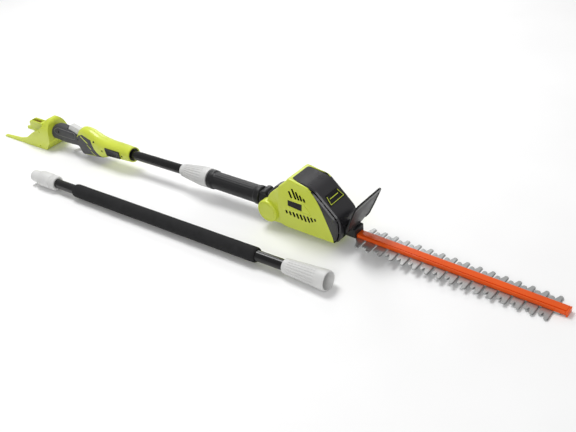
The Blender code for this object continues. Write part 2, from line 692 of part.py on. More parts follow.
def build_shaft(tool, sleeve_frame):
    tube_ends = [(TUBE_REAR, TUBE_RADIUS), (TUBE_FRONT, TUBE_RADIUS)]
    tube_bore = [(TUBE_REAR, TUBE_BORE), (TUBE_FRONT, TUBE_BORE)]
    turned("main_tube", tube_ends, tube_bore, tool, BLACK_FINISH, rotation=ALONG_X)
    lead_end = TUBE_FRONT - OVER
    span = (TUBE_REAR, lead_end)
    rod("wiring_lead", LEAD_RADIUS, *span, tool, COPPER_FINISH, rotation=ALONG_X, steps=SMALL_STEPS)
    bushing = [(BUSHING[0], BUSHING_RADIUS), (BUSHING[1], BUSHING_RADIUS)]
    bushing_bore = [(BUSHING[0], TUBE_RADIUS + GAP), (BUSHING[1], TUBE_RADIUS + GAP)]
    turned("tube_bushing", bushing, bushing_bore, tool, BLACK_FINISH, rotation=ALONG_X)
    plug = [(PLUG[0], PLUG_RADIUS), (PLUG[1] - 3, PLUG_RADIUS), (PLUG[1], PLUG_RADIUS - 2)]
    turned("tube_plug", plug, None, tool, GREY_FINISH, rotation=ALONG_X)
    collar_bore = [(COLLAR_PROFILE[0][0], COLLAR_BORE), (COLLAR_PROFILE[-1][0], COLLAR_BORE)]
    turned("collar_nut", COLLAR_PROFILE, collar_bore, tool, WHITE_FINISH, rotation=ALONG_X)
    sleeve = shifted(SLEEVE_PROFILE, -SLEEVE_PIVOT_X)
    sleeve_bore = shifted(SLEEVE_BORE, -SLEEVE_PIVOT_X)
    turned("sleeve", sleeve, sleeve_bore, sleeve_frame, BLACK_FINISH, rotation=ALONG_X)


def build_pivot(tool, sleeve_frame):
    pivot = (PIVOT[0], 0, PIVOT[1])
    knuckle = rod("knuckle", KNUCKLE_RADIUS, -KNUCKLE_HALF, KNUCKLE_HALF, tool, BLACK_FINISH, pivot, ALONG_Y)
    neck_low, neck_high = (x - SLEEVE_PIVOT_X for x in NECK)
    neck = rod("neck_form", NECK_RADIUS, neck_low, neck_high, sleeve_frame, rotation=ALONG_X)
    join(knuckle, neck)
    reach = KNUCKLE_HALF + OVER
    eye = PIVOT_PIN_RADIUS + GAP
    cut(knuckle, rod("knuckle_eye", eye, -reach, reach, tool, None, pivot, ALONG_Y, SMALL_STEPS))
    half = PIVOT_PIN_HALF
    rod("pivot_pin", PIVOT_PIN_RADIUS, -half, half, tool, STEEL_FINISH, pivot, ALONG_Y, SMALL_STEPS)
    lever = side_solid("tilt_lever", LEVER_OUTLINE, -LEVER_HALF, LEVER_HALF, tool, GREY_FINISH, LEVER_PIVOT)
    lever_centre = (LEVER_PIVOT[0], 0, LEVER_PIVOT[1])
    hole = LEVER_PIN_RADIUS + LEVER_HOLE_CLEARANCE
    reach = LEVER_HALF + 1
    cut(lever, rod("lever_eye", hole, -reach, reach, tool, None, lever_centre, ALONG_Y, SMALL_STEPS))
    half = LEVER_PIN_HALF
    radius = LEVER_PIN_RADIUS
    rod("tilt_lever_pin", radius, -half, half, tool, STEEL_FINISH, lever_centre, ALONG_Y, SMALL_STEPS)


def vent_slots(tool):
    """Both rows of cooling slots, as one cutter right through the head."""
    slots = list(UPPER_VENTS)
    for index, length in enumerate(LOWER_VENT_LENGTHS):
        slots.append((LOWER_VENT_START[0] + LOWER_VENT_STEP * index, LOWER_VENT_START[1], length))
    mesh = bpy.data.meshes.new("vent_slots")
    shape = bmesh.new()
    for x, z, length in slots:
        made = bmesh.ops.create_cube(shape, size=1.0)["verts"]
        bmesh.ops.scale(shape, vec=Vector((VENT_WIDTH, 4 * HEAD_HALF_WIDTH, length)) * MM, verts=made)
        bmesh.ops.translate(shape, vec=(0.0, 0.0, -length / 2 * MM), verts=made)
        bmesh.ops.rotate(shape, cent=(0, 0, 0), matrix=Matrix.Rotation(-VENT_LEAN, 3, "Y"), verts=made)
        bmesh.ops.translate(shape, vec=Vector((x, 0.0, z)) * MM, verts=made)
    shape.to_mesh(mesh)
    shape.free()
    return finish_object(bpy.data.objects.new("vent_slots", mesh), tool)


def build_head(tool, halves):
    hollow_half = HEAD_HALF_WIDTH - HEAD_WALL
    hollow = side_solid("head_hollow", inset(HEAD_OUTLINE, HEAD_WALL), -hollow_half, hollow_half, tool)
    round_edges(hollow, COVER_ROUNDING - HEAD_WALL, 1, math.radians(50))
    lime_points = shifted(HEAD_BORDER + [(-330, 130), (-330, -90)], -HALF_GAP)
    black_points = shifted(HEAD_BORDER[::-1] + [(60, -90), (60, 130)], HALF_GAP)
    lime_region = side_solid("head_lime_region", lime_points, -60, 60, tool)
    black_region = side_solid("head_black_region", black_points, -60, 60, tool)
    top = mirrored_across(COVER_TOP)
    join(black_region, plan_solid("cover_top", inset(top, HALF_GAP), COVER_TOP_FLOOR, 120, tool))
    top_seat = plan_solid("cover_top_seat", inset(top, -HALF_GAP), COVER_TOP_FLOOR, 130, tool)
    vents = vent_slots(tool)
    pivot = (PIVOT[0], 0, PIVOT[1])
    eye_half = PIVOT_PIN_HALF + GAP
    eye = rod("ear_eye", PIVOT_PIN_RADIUS + GAP, -eye_half, eye_half, tool, None, pivot, ALONG_Y, SMALL_STEPS)
    seat_back = -HEAD_HALF_WIDTH + HEAD_PLATE_DEPTH
    plate = side_solid("head_plate_seat", inset(HEAD_PLATE, -GAP), -60.0, seat_back, tool)
    spans = {"right": (-EAR_OUTER, -EAR_INNER), "left": (EAR_INNER, EAR_OUTER)}
    webs = {"right": (-EAR_WEB_OUTER, -EAR_WEB_INNER), "left": (EAR_WEB_INNER, EAR_WEB_OUTER)}
    for side, half in halves.items():
        shell = side_solid("head_" + side, HEAD_OUTLINE, -HEAD_HALF_WIDTH, HEAD_HALF_WIDTH, tool, LIME_FINISH)
        round_edges(shell, SHELL_ROUNDING, 1, math.radians(50))
        cut(shell, hollow)
        keep(shell, lime_region)
        cut(shell, top_seat)
        keep(shell, half)
        join(shell, rod("ear_form_" + side, EAR_RADIUS, *spans[side], tool, None, pivot, ALONG_Y))
        join(shell, side_solid("ear_web_" + side, EAR_WEB, *webs[side], tool))
        cut(shell, eye, vents)
        if side == "right":
            cut(shell, plate)
    cover = side_solid("motor_cover", HEAD_OUTLINE, -HEAD_HALF_WIDTH, HEAD_HALF_WIDTH, tool, BLACK_FINISH)
    round_edges(cover, COVER_ROUNDING, 2, math.radians(50))
    cut(cover, hollow)
    keep(cover, black_region)
    cut(cover, side_solid("blade_mouth", BLADE_MOUTH, -BLADE_MOUTH_HALF, BLADE_MOUTH_HALF, tool))
    back = HEAD_PLATE_DEPTH - GAP - HEAD_HALF_WIDTH
    side_solid("head_name_plate", HEAD_PLATE, -HEAD_HALF_WIDTH, back, tool, BLACK_FINISH)
    return cover


def build_window(tool, cover):
    """The trapezoid frame set in the cover's front slope."""
    slope = math.atan2(68 - 47, 88 - 68)
    frame = new_empty("window_frame_place", tool, (WINDOW_CENTRE[0], 0, WINDOW_CENTRE[1]))
    frame.rotation_euler = (0.0, slope, math.pi)
    outline = [(up, across) for across, up in WINDOW_OUTLINE]
    seat = plan_solid("window_seat", inset(outline, -GAP), -WINDOW_THICK / 2, OVER, frame)
    cut(cover, seat)
    half = WINDOW_THICK / 2
    window = plan_solid("window_frame", outline, -half + GAP, half, frame, GREY_FINISH)
    cut(window, plan_solid("window_slit", inset(outline, WINDOW_INSET), 0.4, OVER, frame))


def build_guard(tool):
    place = new_empty("guard_place", tool, (GUARD_FOOT[0], 0, GUARD_FOOT[1]))
    place.rotation_euler = (0.0, GUARD_LEAN, 0.0)
    front_solid("guard", GUARD_OUTLINE, -GUARD_THICK / 2, GUARD_THICK / 2, place, BLACK_FINISH)


def build_drive(blade_frame):
    crank_place = (CRANK_S, 0, 0)
    low, high = GEAR_RANGE
    profile = [
        (UPPER_BLADE_BASE + 1.0, CRANK_HUB_RADIUS), (low, CRANK_HUB_RADIUS), (low, CRANK_GEAR_RADIUS),
        (high, CRANK_GEAR_RADIUS), (high, CRANK_SHAFT_RADIUS), (PLATE_RANGE[1] - 1, CRANK_SHAFT_RADIUS),
    ]
    crank = turned("crank_gear", profile, None, blade_frame, STEEL_FINISH, crank_place)
    split = LOWER_BLADE_BASE + BLADE_THICK + HALF_GAP
    upper_place = (CRANK_S + ECCENTRIC_OFFSET, 0, 0)
    lower_place = (CRANK_S - ECCENTRIC_OFFSET, 0, 0)
    size = ECCENTRIC_RADIUS
    base = LOWER_BLADE_BASE
    upper = rod("upper_eccentric", size, split - 0.1, 4.0, blade_frame, None, upper_place, steps=SMALL_STEPS)
    lower = rod("lower_eccentric", size, base, split, blade_frame, None, lower_place, steps=SMALL_STEPS)
    join(crank, upper, lower)
    pinion = [
        (low, PINION_RADIUS), (high, PINION_RADIUS), (high, PINION_SHAFT_RADIUS),
        (MOTOR_RANGE[0] - GAP, PINION_SHAFT_RADIUS),
    ]
    turned("motor_pinion", pinion, None, blade_frame, STEEL_FINISH, (PINION_S, 0, 0), steps=SMALL_STEPS)
    motor = [
        (MOTOR_RANGE[0], MOTOR_RADIUS - 3), (MOTOR_RANGE[0] + 3, MOTOR_RADIUS),
        (MOTOR_RANGE[1] - 4, MOTOR_RADIUS), (MOTOR_RANGE[1], MOTOR_RADIUS - 8),
    ]
    turned("motor_body", motor, None, blade_frame, STEEL_FINISH, (PINION_S, 0, 0))
    plate = plan_solid("gearbox_plate", PLATE_OUTLINE, *PLATE_RANGE, blade_frame, STEEL_FINISH)
    shaft_hole = CRANK_SHAFT_RADIUS + GAP
    pinion_hole = PINION_SHAFT_RADIUS + GAP
    cut(plate, rod("crank_hole", shaft_hole, 0, 60, blade_frame, None, crank_place, steps=SMALL_STEPS))
    cut(plate, rod("pinion_hole", pinion_hole, 0, 60, blade_frame, None, (PINION_S, 0, 0), steps=SMALL_STEPS))


def blade_cells():
    """One toothed side of a blade as cells from its tail to its end, in (S, Y) points with Y positive."""
    left = SHORT_TOOTH[0][0] - SHORT_TOOTH_LEAD
    tail = [(BLADE_TAIL, 0.0), (BLADE_TAIL, TAIL_HALF), (TAIL_FRONT, TAIL_HALF), (TAIL_FRONT + 6, SPINE_HALF)]
    cells = [tail + [(left, SPINE_HALF), (left, 0.0)]]
    for index in range(TOOTH_COUNT):
        tip = TOOTH_PITCH * index
        tooth = shifted(SHORT_TOOTH, tip - SHORT_TOOTH_LEAD) + shifted(LONG_TOOTH, tip)
        right = tooth[-1][0]
        after = left + TOOTH_PITCH * (index + 1) if index < TOOTH_COUNT - 1 else BLADE_END
        if index == 0:
            tooth = [(left, SPINE_HALF)] + shifted(LONG_TOOTH, tip)
        cells.append([(tooth[0][0], 0.0)] + tooth + [(right, 0.0)])
        cells.append([(right, 0.0), (right, SPINE_HALF), (after, SPINE_HALF), (after, 0.0)])
    return cells


def toothed_plate(name, shift, base, parent, finish):
    """A flat blade made of cells that share their corners, thickened upward from its base."""
    mesh = bpy.data.meshes.new(name)
    shape = bmesh.new()
    for cell in blade_cells():
        for side in (1, -1):
            verts = [shape.verts.new(Vector((s + shift, side * y, base)) * MM) for s, y in cell]
            shape.faces.new(verts[::-side])
    bmesh.ops.remove_doubles(shape, verts=shape.verts, dist=MERGE)
    made = bmesh.ops.extrude_face_region(shape, geom=shape.faces[:])["geom"]
    raised = [item for item in made if isinstance(item, bmesh.types.BMVert)]
    bmesh.ops.translate(shape, vec=(0.0, 0.0, BLADE_THICK * MM), verts=raised)
    bmesh.ops.recalc_face_normals(shape, faces=shape.faces)
    shape.to_mesh(mesh)
    shape.free()
    return finish_object(bpy.data.objects.new(name, mesh), parent, finish)


def slot_outline(centre, half_length, half_width):
    """A long hole with chamfered ends."""
    corner = half_width * 0.6
    half = [
        (centre - half_length, 0.0), (centre - half_length + corner, half_width),
        (centre + half_length - corner, half_width), (centre + half_length, 0.0),
    ]
    return half + [(s, -y) for s, y in reversed(half[1:-1])]


def build_blades(blade_frame):
    pin_places = [FIRST_PIN_S + PIN_SPACING * index for index in range(PIN_COUNT)]
    yoke_outline = slot_outline(CRANK_S, YOKE_HALF_LENGTH, YOKE_HALF_WIDTH)
    yoke = plan_solid("yoke_window", yoke_outline, -30, 30, blade_frame)
    slots = []
    for number, s in enumerate(pin_places):
        half_length = BLADE_STROKE + LOWER_BLADE_SHIFT + GUIDE_PIN_RADIUS + 2.0
        outline = slot_outline(s, half_length, GUIDE_PIN_RADIUS + 0.6)
        slots.append(plan_solid("guide_slot_%d" % number, outline, -30, 30, blade_frame))
    blades = (("upper_blade", UPPER_BLADE_BASE, 0.0), ("lower_blade", LOWER_BLADE_BASE, LOWER_BLADE_SHIFT))
    for name, base, shift in blades:
        blade = toothed_plate(name, shift, base, blade_frame, STEEL_FINISH)
        cut(blade, yoke, *slots)
    bar_low = (BAR_S[0], -BAR_HALF, BAR_RANGE[0])
    bar = box("support_bar", bar_low, (BAR_S[1], BAR_HALF, BAR_RANGE[1]), blade_frame, ORANGE_FINISH)
    round_edges(bar, 1.2, 1, math.radians(50))
    groove_low = (ROOT_BLOCK_S[1] + 8, BAR_GROOVE_Y - BAR_GROOVE_HALF, BAR_RANGE[1] - BAR_GROOVE_DEPTH)
    groove_high = (BAR_S[1] + 5, BAR_GROOVE_Y + BAR_GROOVE_HALF, BAR_RANGE[1] + 5)
    cut(bar, box("bar_groove", groove_low, groove_high, blade_frame))
    for number, s in enumerate(pin_places, start=1):
        top = GUIDE_PIN_TOP + GAP
        hole = GUIDE_PIN_RADIUS + GAP
        cut(bar, rod("pin_bore_%d" % number, hole, -5, top, blade_frame, None, (s, 0, 0), steps=SMALL_STEPS))
        pin_name = "guide_pin_%d" % number
        low, high = GUIDE_PIN_BASE, GUIDE_PIN_TOP
        rod(pin_name, GUIDE_PIN_RADIUS, low, high, blade_frame, STEEL_FINISH, (s, 0, 0), steps=SMALL_STEPS)
    box("bar_tip", (TIP_S[0], -BAR_HALF, 0.0), (TIP_S[1], BAR_HALF, BAR_RANGE[1]), blade_frame, ORANGE_FINISH)
    block_low = (ROOT_BLOCK_S[0], -ROOT_BLOCK_HALF, BAR_RANGE[0] + GAP)
    block_high = (ROOT_BLOCK_S[1], ROOT_BLOCK_HALF, ROOT_BLOCK_TOP)
    block = box("blade_root_block", block_low, block_high, blade_frame, BLACK_FINISH)
    round_edges(block, 2.5, 2, math.radians(50))
    channel_low = (ROOT_BLOCK_S[0] - 9, -BAR_HALF - GAP, -9)
    channel_high = (ROOT_BLOCK_S[1] + 9, BAR_HALF + GAP, BAR_RANGE[1] + GAP)
    cut(block, box("bar_channel", channel_low, channel_high, blade_frame))


def build_pole(pole):
    tube = [(POLE_TUBE[0], TUBE_RADIUS), (POLE_TUBE[1], TUBE_RADIUS)]
    tube_bore = [(POLE_TUBE[0], TUBE_BORE), (POLE_TUBE[1], TUBE_BORE)]
    turned("pole_tube", tube, tube_bore, pole, BLACK_FINISH, rotation=ALONG_X)
    foam_bore = [(FOAM_PROFILE[0][0], FOAM_BORE), (FOAM_PROFILE[-1][0], FOAM_BORE)]
    turned("pole_foam", FOAM_PROFILE, foam_bore, pole, FOAM_FINISH, rotation=ALONG_X)
    coupler_bore = [(POLE_COUPLER[0][0], COLLAR_BORE), (POLE_COUPLER[-1][0], COLLAR_BORE)]
    turned("pole_coupler", POLE_COUPLER, coupler_bore, pole, WHITE_FINISH, rotation=ALONG_X)
    ring_bore = [(POLE_RING[0][0], COLLAR_BORE), (POLE_RING[-1][0], COLLAR_BORE)]
    turned("pole_ring", POLE_RING, ring_bore, pole, WHITE_FINISH, rotation=ALONG_X)
    turned("pole_bell", BELL_PROFILE, BELL_BORE, pole, WHITE_FINISH, rotation=ALONG_X)
    socket = [(SOCKET[0], SOCKET_RADIUS), (SOCKET[1], SOCKET_RADIUS)]
    socket_bore = [(SOCKET[0], SOCKET_BORE), (SOCKET[1], SOCKET_BORE)]
    turned("pole_socket", socket, socket_bore, pole, BLACK_FINISH, rotation=ALONG_X)


def lowest_and_middle(objects):
    """The lowest Z and the middle X and Y of the evaluated parts, in metres."""
    bpy.context.view_layer.update()
    depsgraph = bpy.context.evaluated_depsgraph_get()
    low = Vector((math.inf,) * 3)
    high = Vector((-math.inf,) * 3)
    for obj in objects:
        evaluated = obj.evaluated_get(depsgraph)
        for vertex in evaluated.data.vertices:
            place = evaluated.matrix_world @ vertex.co
            low = Vector(map(min, low, place))
            high = Vector(map(max, high, place))
    return Vector(((low.x + high.x) / 2, (low.y + high.y) / 2, low.z))


def main():
    object_root = new_empty("trimmer_place", None)
    tool = new_empty("tool_frame", object_root, rotation=(0.0, TOOL_PITCH, 0.0))
    blade_frame = new_empty("blade_frame", tool, BLADE_ORIGIN, (0.0, BLADE_PITCH, 0.0))
    sleeve_frame = new_empty("sleeve_frame", tool, (SLEEVE_PIVOT_X, 0.0, 0.0), (0.0, SLEEVE_PITCH, 0.0))
    pole_slope = (POLE_FRONT_HEIGHT - POLE_REAR_HEIGHT) / (POLE_FRONT_X - POLE_REAR_X)
    pole_height = FLOOR_AT_ZERO + POLE_FRONT_HEIGHT - pole_slope * POLE_FRONT_X
    pole = new_empty("pole_frame", object_root, (0.0, POLE_SIDE_Y, pole_height), (0.0, -pole_slope, POLE_YAW))
    halves = side_keepers(tool)
    build_dock(tool, halves)
    build_handle(tool, halves)
    build_controls(tool)
    build_name_plate(tool)
    build_shaft(tool, sleeve_frame)
    build_pivot(tool, sleeve_frame)
    cover = build_head(tool, halves)
    build_window(tool, cover)
    build_guard(tool)
    build_drive(blade_frame)
    build_blades(blade_frame)
    build_pole(pole)
    nodes = [obj for obj in parts.objects if obj.type == "MESH"]
    object_root.location = -lowest_and_middle(nodes)


clear_scene()
parts = new_collection("hedge_trimmer")
cutters = new_collection("hedge_trimmer_cutters")
main()
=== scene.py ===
"""Looks for the pole hedge trimmer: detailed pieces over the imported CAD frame, with procedural materials.

Outlines are in millimetres in the tool's own frame: X along the main tube towards the blade tip, Y sideways,
Z up from the tube's centre line. Matrices below place that frame, and the blade's, the sleeve's, the pole's,
the window's and the guard's, in the row frame in metres.
"""
import functools
import math

import bmesh
import bpy
from mathutils import Matrix, Vector


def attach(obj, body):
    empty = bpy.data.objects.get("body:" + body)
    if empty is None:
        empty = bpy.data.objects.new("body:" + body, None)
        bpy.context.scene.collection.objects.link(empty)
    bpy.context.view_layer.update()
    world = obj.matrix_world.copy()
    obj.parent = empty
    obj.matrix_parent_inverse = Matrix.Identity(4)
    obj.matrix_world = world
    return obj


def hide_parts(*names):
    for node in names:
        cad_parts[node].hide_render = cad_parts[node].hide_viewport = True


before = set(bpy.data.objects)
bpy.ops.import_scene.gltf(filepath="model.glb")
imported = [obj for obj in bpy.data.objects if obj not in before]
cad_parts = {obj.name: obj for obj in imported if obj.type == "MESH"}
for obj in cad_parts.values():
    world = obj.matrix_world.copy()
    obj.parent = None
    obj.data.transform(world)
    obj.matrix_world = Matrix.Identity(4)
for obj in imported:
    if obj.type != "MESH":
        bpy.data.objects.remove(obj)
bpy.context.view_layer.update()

MM = 0.001
GAP = 0.3
MERGE = 0.00002
CORNER_SHARE = 0.45
SIDES = ("right", "left")
SIGNS = (-1.0, 1.0)
PIVOT = (-246, 0, -11)


def turned_about_y(angle):
    return Matrix.Rotation(angle, 4, "Y")


def moved(x, z):
    """A move in the tool's middle plane."""
    return Matrix.Translation((x * MM, 0.0, z * MM))


TOOL = Matrix.Translation((0.42761904, 0.07163823, 0.05928889)) @ turned_about_y(-0.00832)
BLADE = TOOL @ moved(0.0, -36.05) @ turned_about_y(0.0578)
SLEEVE_PIVOT_X = -485.0
SLEEVE = TOOL @ moved(SLEEVE_PIVOT_X, 0.0) @ turned_about_y(0.0218)
POLE = (
    Matrix.Translation((0.42761904, -0.09266178, 0.02299173))
    @ Matrix.Rotation(0.00949, 4, "Z")
    @ turned_about_y(-0.0020555)
)
WINDOW_SLOPE = math.atan2(21.0, 20.0)
WINDOW = TOOL @ moved(-74.3, 53.6) @ turned_about_y(WINDOW_SLOPE) @ Matrix.Rotation(math.pi, 4, "Z")
GUARD = TOOL @ moved(-21.0, -6.6) @ turned_about_y(0.4538)

# ---- mesh tools


def new_object(name, data):
    obj = bpy.data.objects.new(name, data)
    bpy.context.scene.collection.objects.link(obj)
    return obj


def object_from(name, shape, place):
    """Turn a bmesh in millimetres into an object in the row frame, with its place in its mesh."""
    bmesh.ops.remove_doubles(shape, verts=shape.verts, dist=MERGE / MM)
    bmesh.ops.recalc_face_normals(shape, faces=shape.faces)
    mesh = bpy.data.meshes.new(name)
    shape.to_mesh(mesh)
    shape.free()
    mesh.transform(Matrix.Scale(MM, 4))
    mesh.transform(place)
    return new_object(name, mesh)


def corner_curve(before, corner, after, reach, steps):
    """The points of a small curve that rounds one corner."""
    corner = Vector(corner)
    back = Vector(before) - corner
    ahead = Vector(after) - corner
    near = corner + back.normalized() * min(reach, back.length * CORNER_SHARE)
    far = corner + ahead.normalized() * min(reach, ahead.length * CORNER_SHARE)
    result = []
    for step in range(steps + 1):
        t = step / steps
        point = near * (1 - t) ** 2 + corner * 2 * t * (1 - t) + far * t ** 2
        result.append((point.x, point.y))
    return result


def softened(points, reach, steps=4):
    """Round every corner of a closed outline with a small curve."""
    result = []
    for before, corner, after in zip(points[-1:] + points[:-1], points, points[1:] + points[:1]):
        result += corner_curve(before, corner, after, reach, steps)
    return result


def inset(points, distance):
    """Move every side of a closed outline inward by the same distance."""
    corners = [Vector(point) for point in points]
    pairs = list(zip(corners, corners[1:] + corners[:1]))
    turn = math.copysign(1.0, sum(here.x * ahead.y - ahead.x * here.y for here, ahead in pairs))
    sides = [(ahead - here).normalized() for here, ahead in pairs]
    normals = [Vector((-side.y, side.x)) * turn for side in sides]
    result = []
    for corner, before, after in zip(corners, normals[-1:] + normals[:-1], normals):
        point = corner + (before + after) / (1.0 + before.dot(after)) * distance
        result.append((point.x, point.y))
    return result


def mirrored(points):
    """Complete a half outline (first value positive) with its mirror image."""
    other_half = [(-across, up) for across, up in reversed(points) if across > 0.0]
    return points + other_half


def both_sides(points):
    """Complete a half outline (second value positive) with its mirror image."""
    return points + [(along, -across) for along, across in reversed(points) if across > 0.0]


def shifted(points, dx, dy=0.0):
    return [(x + dx, y + dy) for x, y in points]


def rectangle(low_a, high_a, low_b, high_b):
    return [(low_a, low_b), (high_a, low_b), (high_a, high_b), (low_a, high_b)]


def sideways(sign, near, far):
    """A span between two distances from the middle plane, on the side that sign says."""
    return sorted((sign * near, sign * far))


SIDE = "side"
FRONT = "front"
PLAN = "plan"


def bridge(shape, rings, wrapped=False):
    """Join each ring of vertices to the next, and cap both ends or wrap the last round to the first."""
    pairs = list(zip(rings, rings[1:]))
    if wrapped:
        pairs.append((rings[-1], rings[0]))
    else:
        shape.faces.new(rings[0])
        shape.faces.new(list(reversed(rings[-1])))
    for here, ahead in pairs:
        for index in range(len(here)):
            after = (index + 1) % len(here)
            shape.faces.new((here[index], ahead[index], ahead[after], here[after]))


def slab(name, points, low, high, view=SIDE, place=TOOL):
    """A flat outline thickened between two planes. view says which plane the outline is drawn in."""
    put = {
        SIDE: lambda a, b, depth: (a, depth, b),
        FRONT: lambda a, b, depth: (depth, a, b),
        PLAN: lambda a, b, depth: (a, b, depth),
    }[view]
    shape = bmesh.new()
    bridge(shape, [[shape.verts.new(put(a, b, depth)) for a, b in points] for depth in (low, high)])
    return object_from(name, shape, place)


def block(name, low, high):
    return slab(name, rectangle(low[0], high[0], low[2], high[2]), low[1], high[1])


# Each turns local X onto the named axis.
AXIS_TURNS = {
    "X": Matrix.Identity(4),
    "Y": Matrix.Rotation(math.pi / 2, 4, "Z"),
    "Z": turned_about_y(-math.pi / 2),
}


def lathe(name, outer, bore, place, steps=96, relief=None):
    """Turn a profile of (along, radius) about local X. relief(along, angle) lowers the outer surface."""
    shape = bmesh.new()
    run = [(along, radius, True) for along, radius in outer]
    if bore:
        run += [(along, radius, False) for along, radius in reversed(bore)]
    rings = []
    for along, radius, is_outer in run:
        ring = []
        for step in range(steps):
            angle = math.tau * step / steps
            size = radius - (relief(along, angle) if relief and is_outer else 0.0)
            ring.append(shape.verts.new((along, size * math.cos(angle), size * math.sin(angle))))
        rings.append(ring)
    bridge(shape, rings, wrapped=bool(bore))
    return object_from(name, shape, place)


def at(*point):
    return Matrix.Translation(Vector(point) * MM)


def rod(name, radius, low, high, centre, axis="Y", place=TOOL, steps=64):
    spot = place @ at(*centre) @ AXIS_TURNS[axis]
    return lathe(name, [(low, radius), (high, radius)], None, spot, steps)


def rounded_profile(profile, reach, steps=3):
    """Round the inner corners of an open profile of (along, radius)."""
    result = [profile[0]]
    for before, corner, after in zip(profile, profile[1:], profile[2:]):
        result += corner_curve(before, corner, after, reach, steps)
    result.append(profile[-1])
    return result


def filled_profile(profile, spacing):
    """Add stations to a profile so that none are further apart than spacing."""
    result = []
    for (x0, r0), (x1, r1) in zip(profile, profile[1:]):
        count = max(1, math.ceil(abs(x1 - x0) / spacing))
        result += [(x0 + (x1 - x0) * i / count, r0 + (r1 - r0) * i / count) for i in range(count)]
    result.append(profile[-1])
    return result


def settle(obj):
    """Apply an object's modifiers to its mesh."""
    depsgraph = bpy.context.evaluated_depsgraph_get()
    depsgraph.update()
    mesh = bpy.data.meshes.new_from_object(obj.evaluated_get(depsgraph))
    old = obj.data
    obj.modifiers.clear()
    obj.data = mesh
    mesh.name = obj.name
    bpy.data.meshes.remove(old)
    return obj


def combine(operation, obj, *tools, keep_tools=False):
    """Cut, keep or join solids, and remove the tools unless they are needed again."""
    for tool in tools:
        modifier = obj.modifiers.new("Cut", "BOOLEAN")
        modifier.operation = operation
        modifier.solver = "EXACT"
        modifier.object = tool
    settle(obj)
    if not keep_tools:
        remove(*tools)
    return obj


cut = functools.partial(combine, "DIFFERENCE")
keep = functools.partial(combine, "INTERSECT")
join = functools.partial(combine, "UNION")


def remove(*objects):
    for obj in objects:
        mesh = obj.data
        bpy.data.objects.remove(obj, do_unlink=True)
        if mesh.users == 0:
            bpy.data.meshes.remove(mesh)


def bevelled(obj, width, segments=3, angle=50.0):
    modifier = obj.modifiers.new("Bevel", "BEVEL")
    modifier.width = width * MM
    modifier.segments = segments
    modifier.limit_method = "ANGLE"
    modifier.angle_limit = math.radians(angle)
    modifier.use_clamp_overlap = True
    return settle(obj)


def copied(name, node, width):
    """A copy of a CAD node with its flat areas merged and its edges rounded."""
    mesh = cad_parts[node].data.copy()
    obj = new_object(name, mesh)
    shape = bmesh.new()
    shape.from_mesh(mesh)
    bmesh.ops.remove_doubles(shape, verts=shape.verts, dist=MERGE)
    bmesh.ops.dissolve_limit(
        shape, angle_limit=math.radians(0.6), verts=shape.verts, edges=shape.edges, delimit={"NORMAL"}
    )
    shape.to_mesh(mesh)
    shape.free()
    return bevelled(obj, width, 2, 35.0)


def finish_piece(obj, body, slot, material, *nodes, angle=35.0):
    """Give a piece its material and its body, and hide the CAD nodes that it stands for. slot is not used."""
    obj.data.shade_smooth()
    obj.data.set_sharp_from_angle(angle=math.radians(angle))
    obj.data.materials.clear()
    obj.data.materials.append(material)
    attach(obj, body)
    if nodes:
        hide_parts(*nodes)
    return obj


# ---- materials


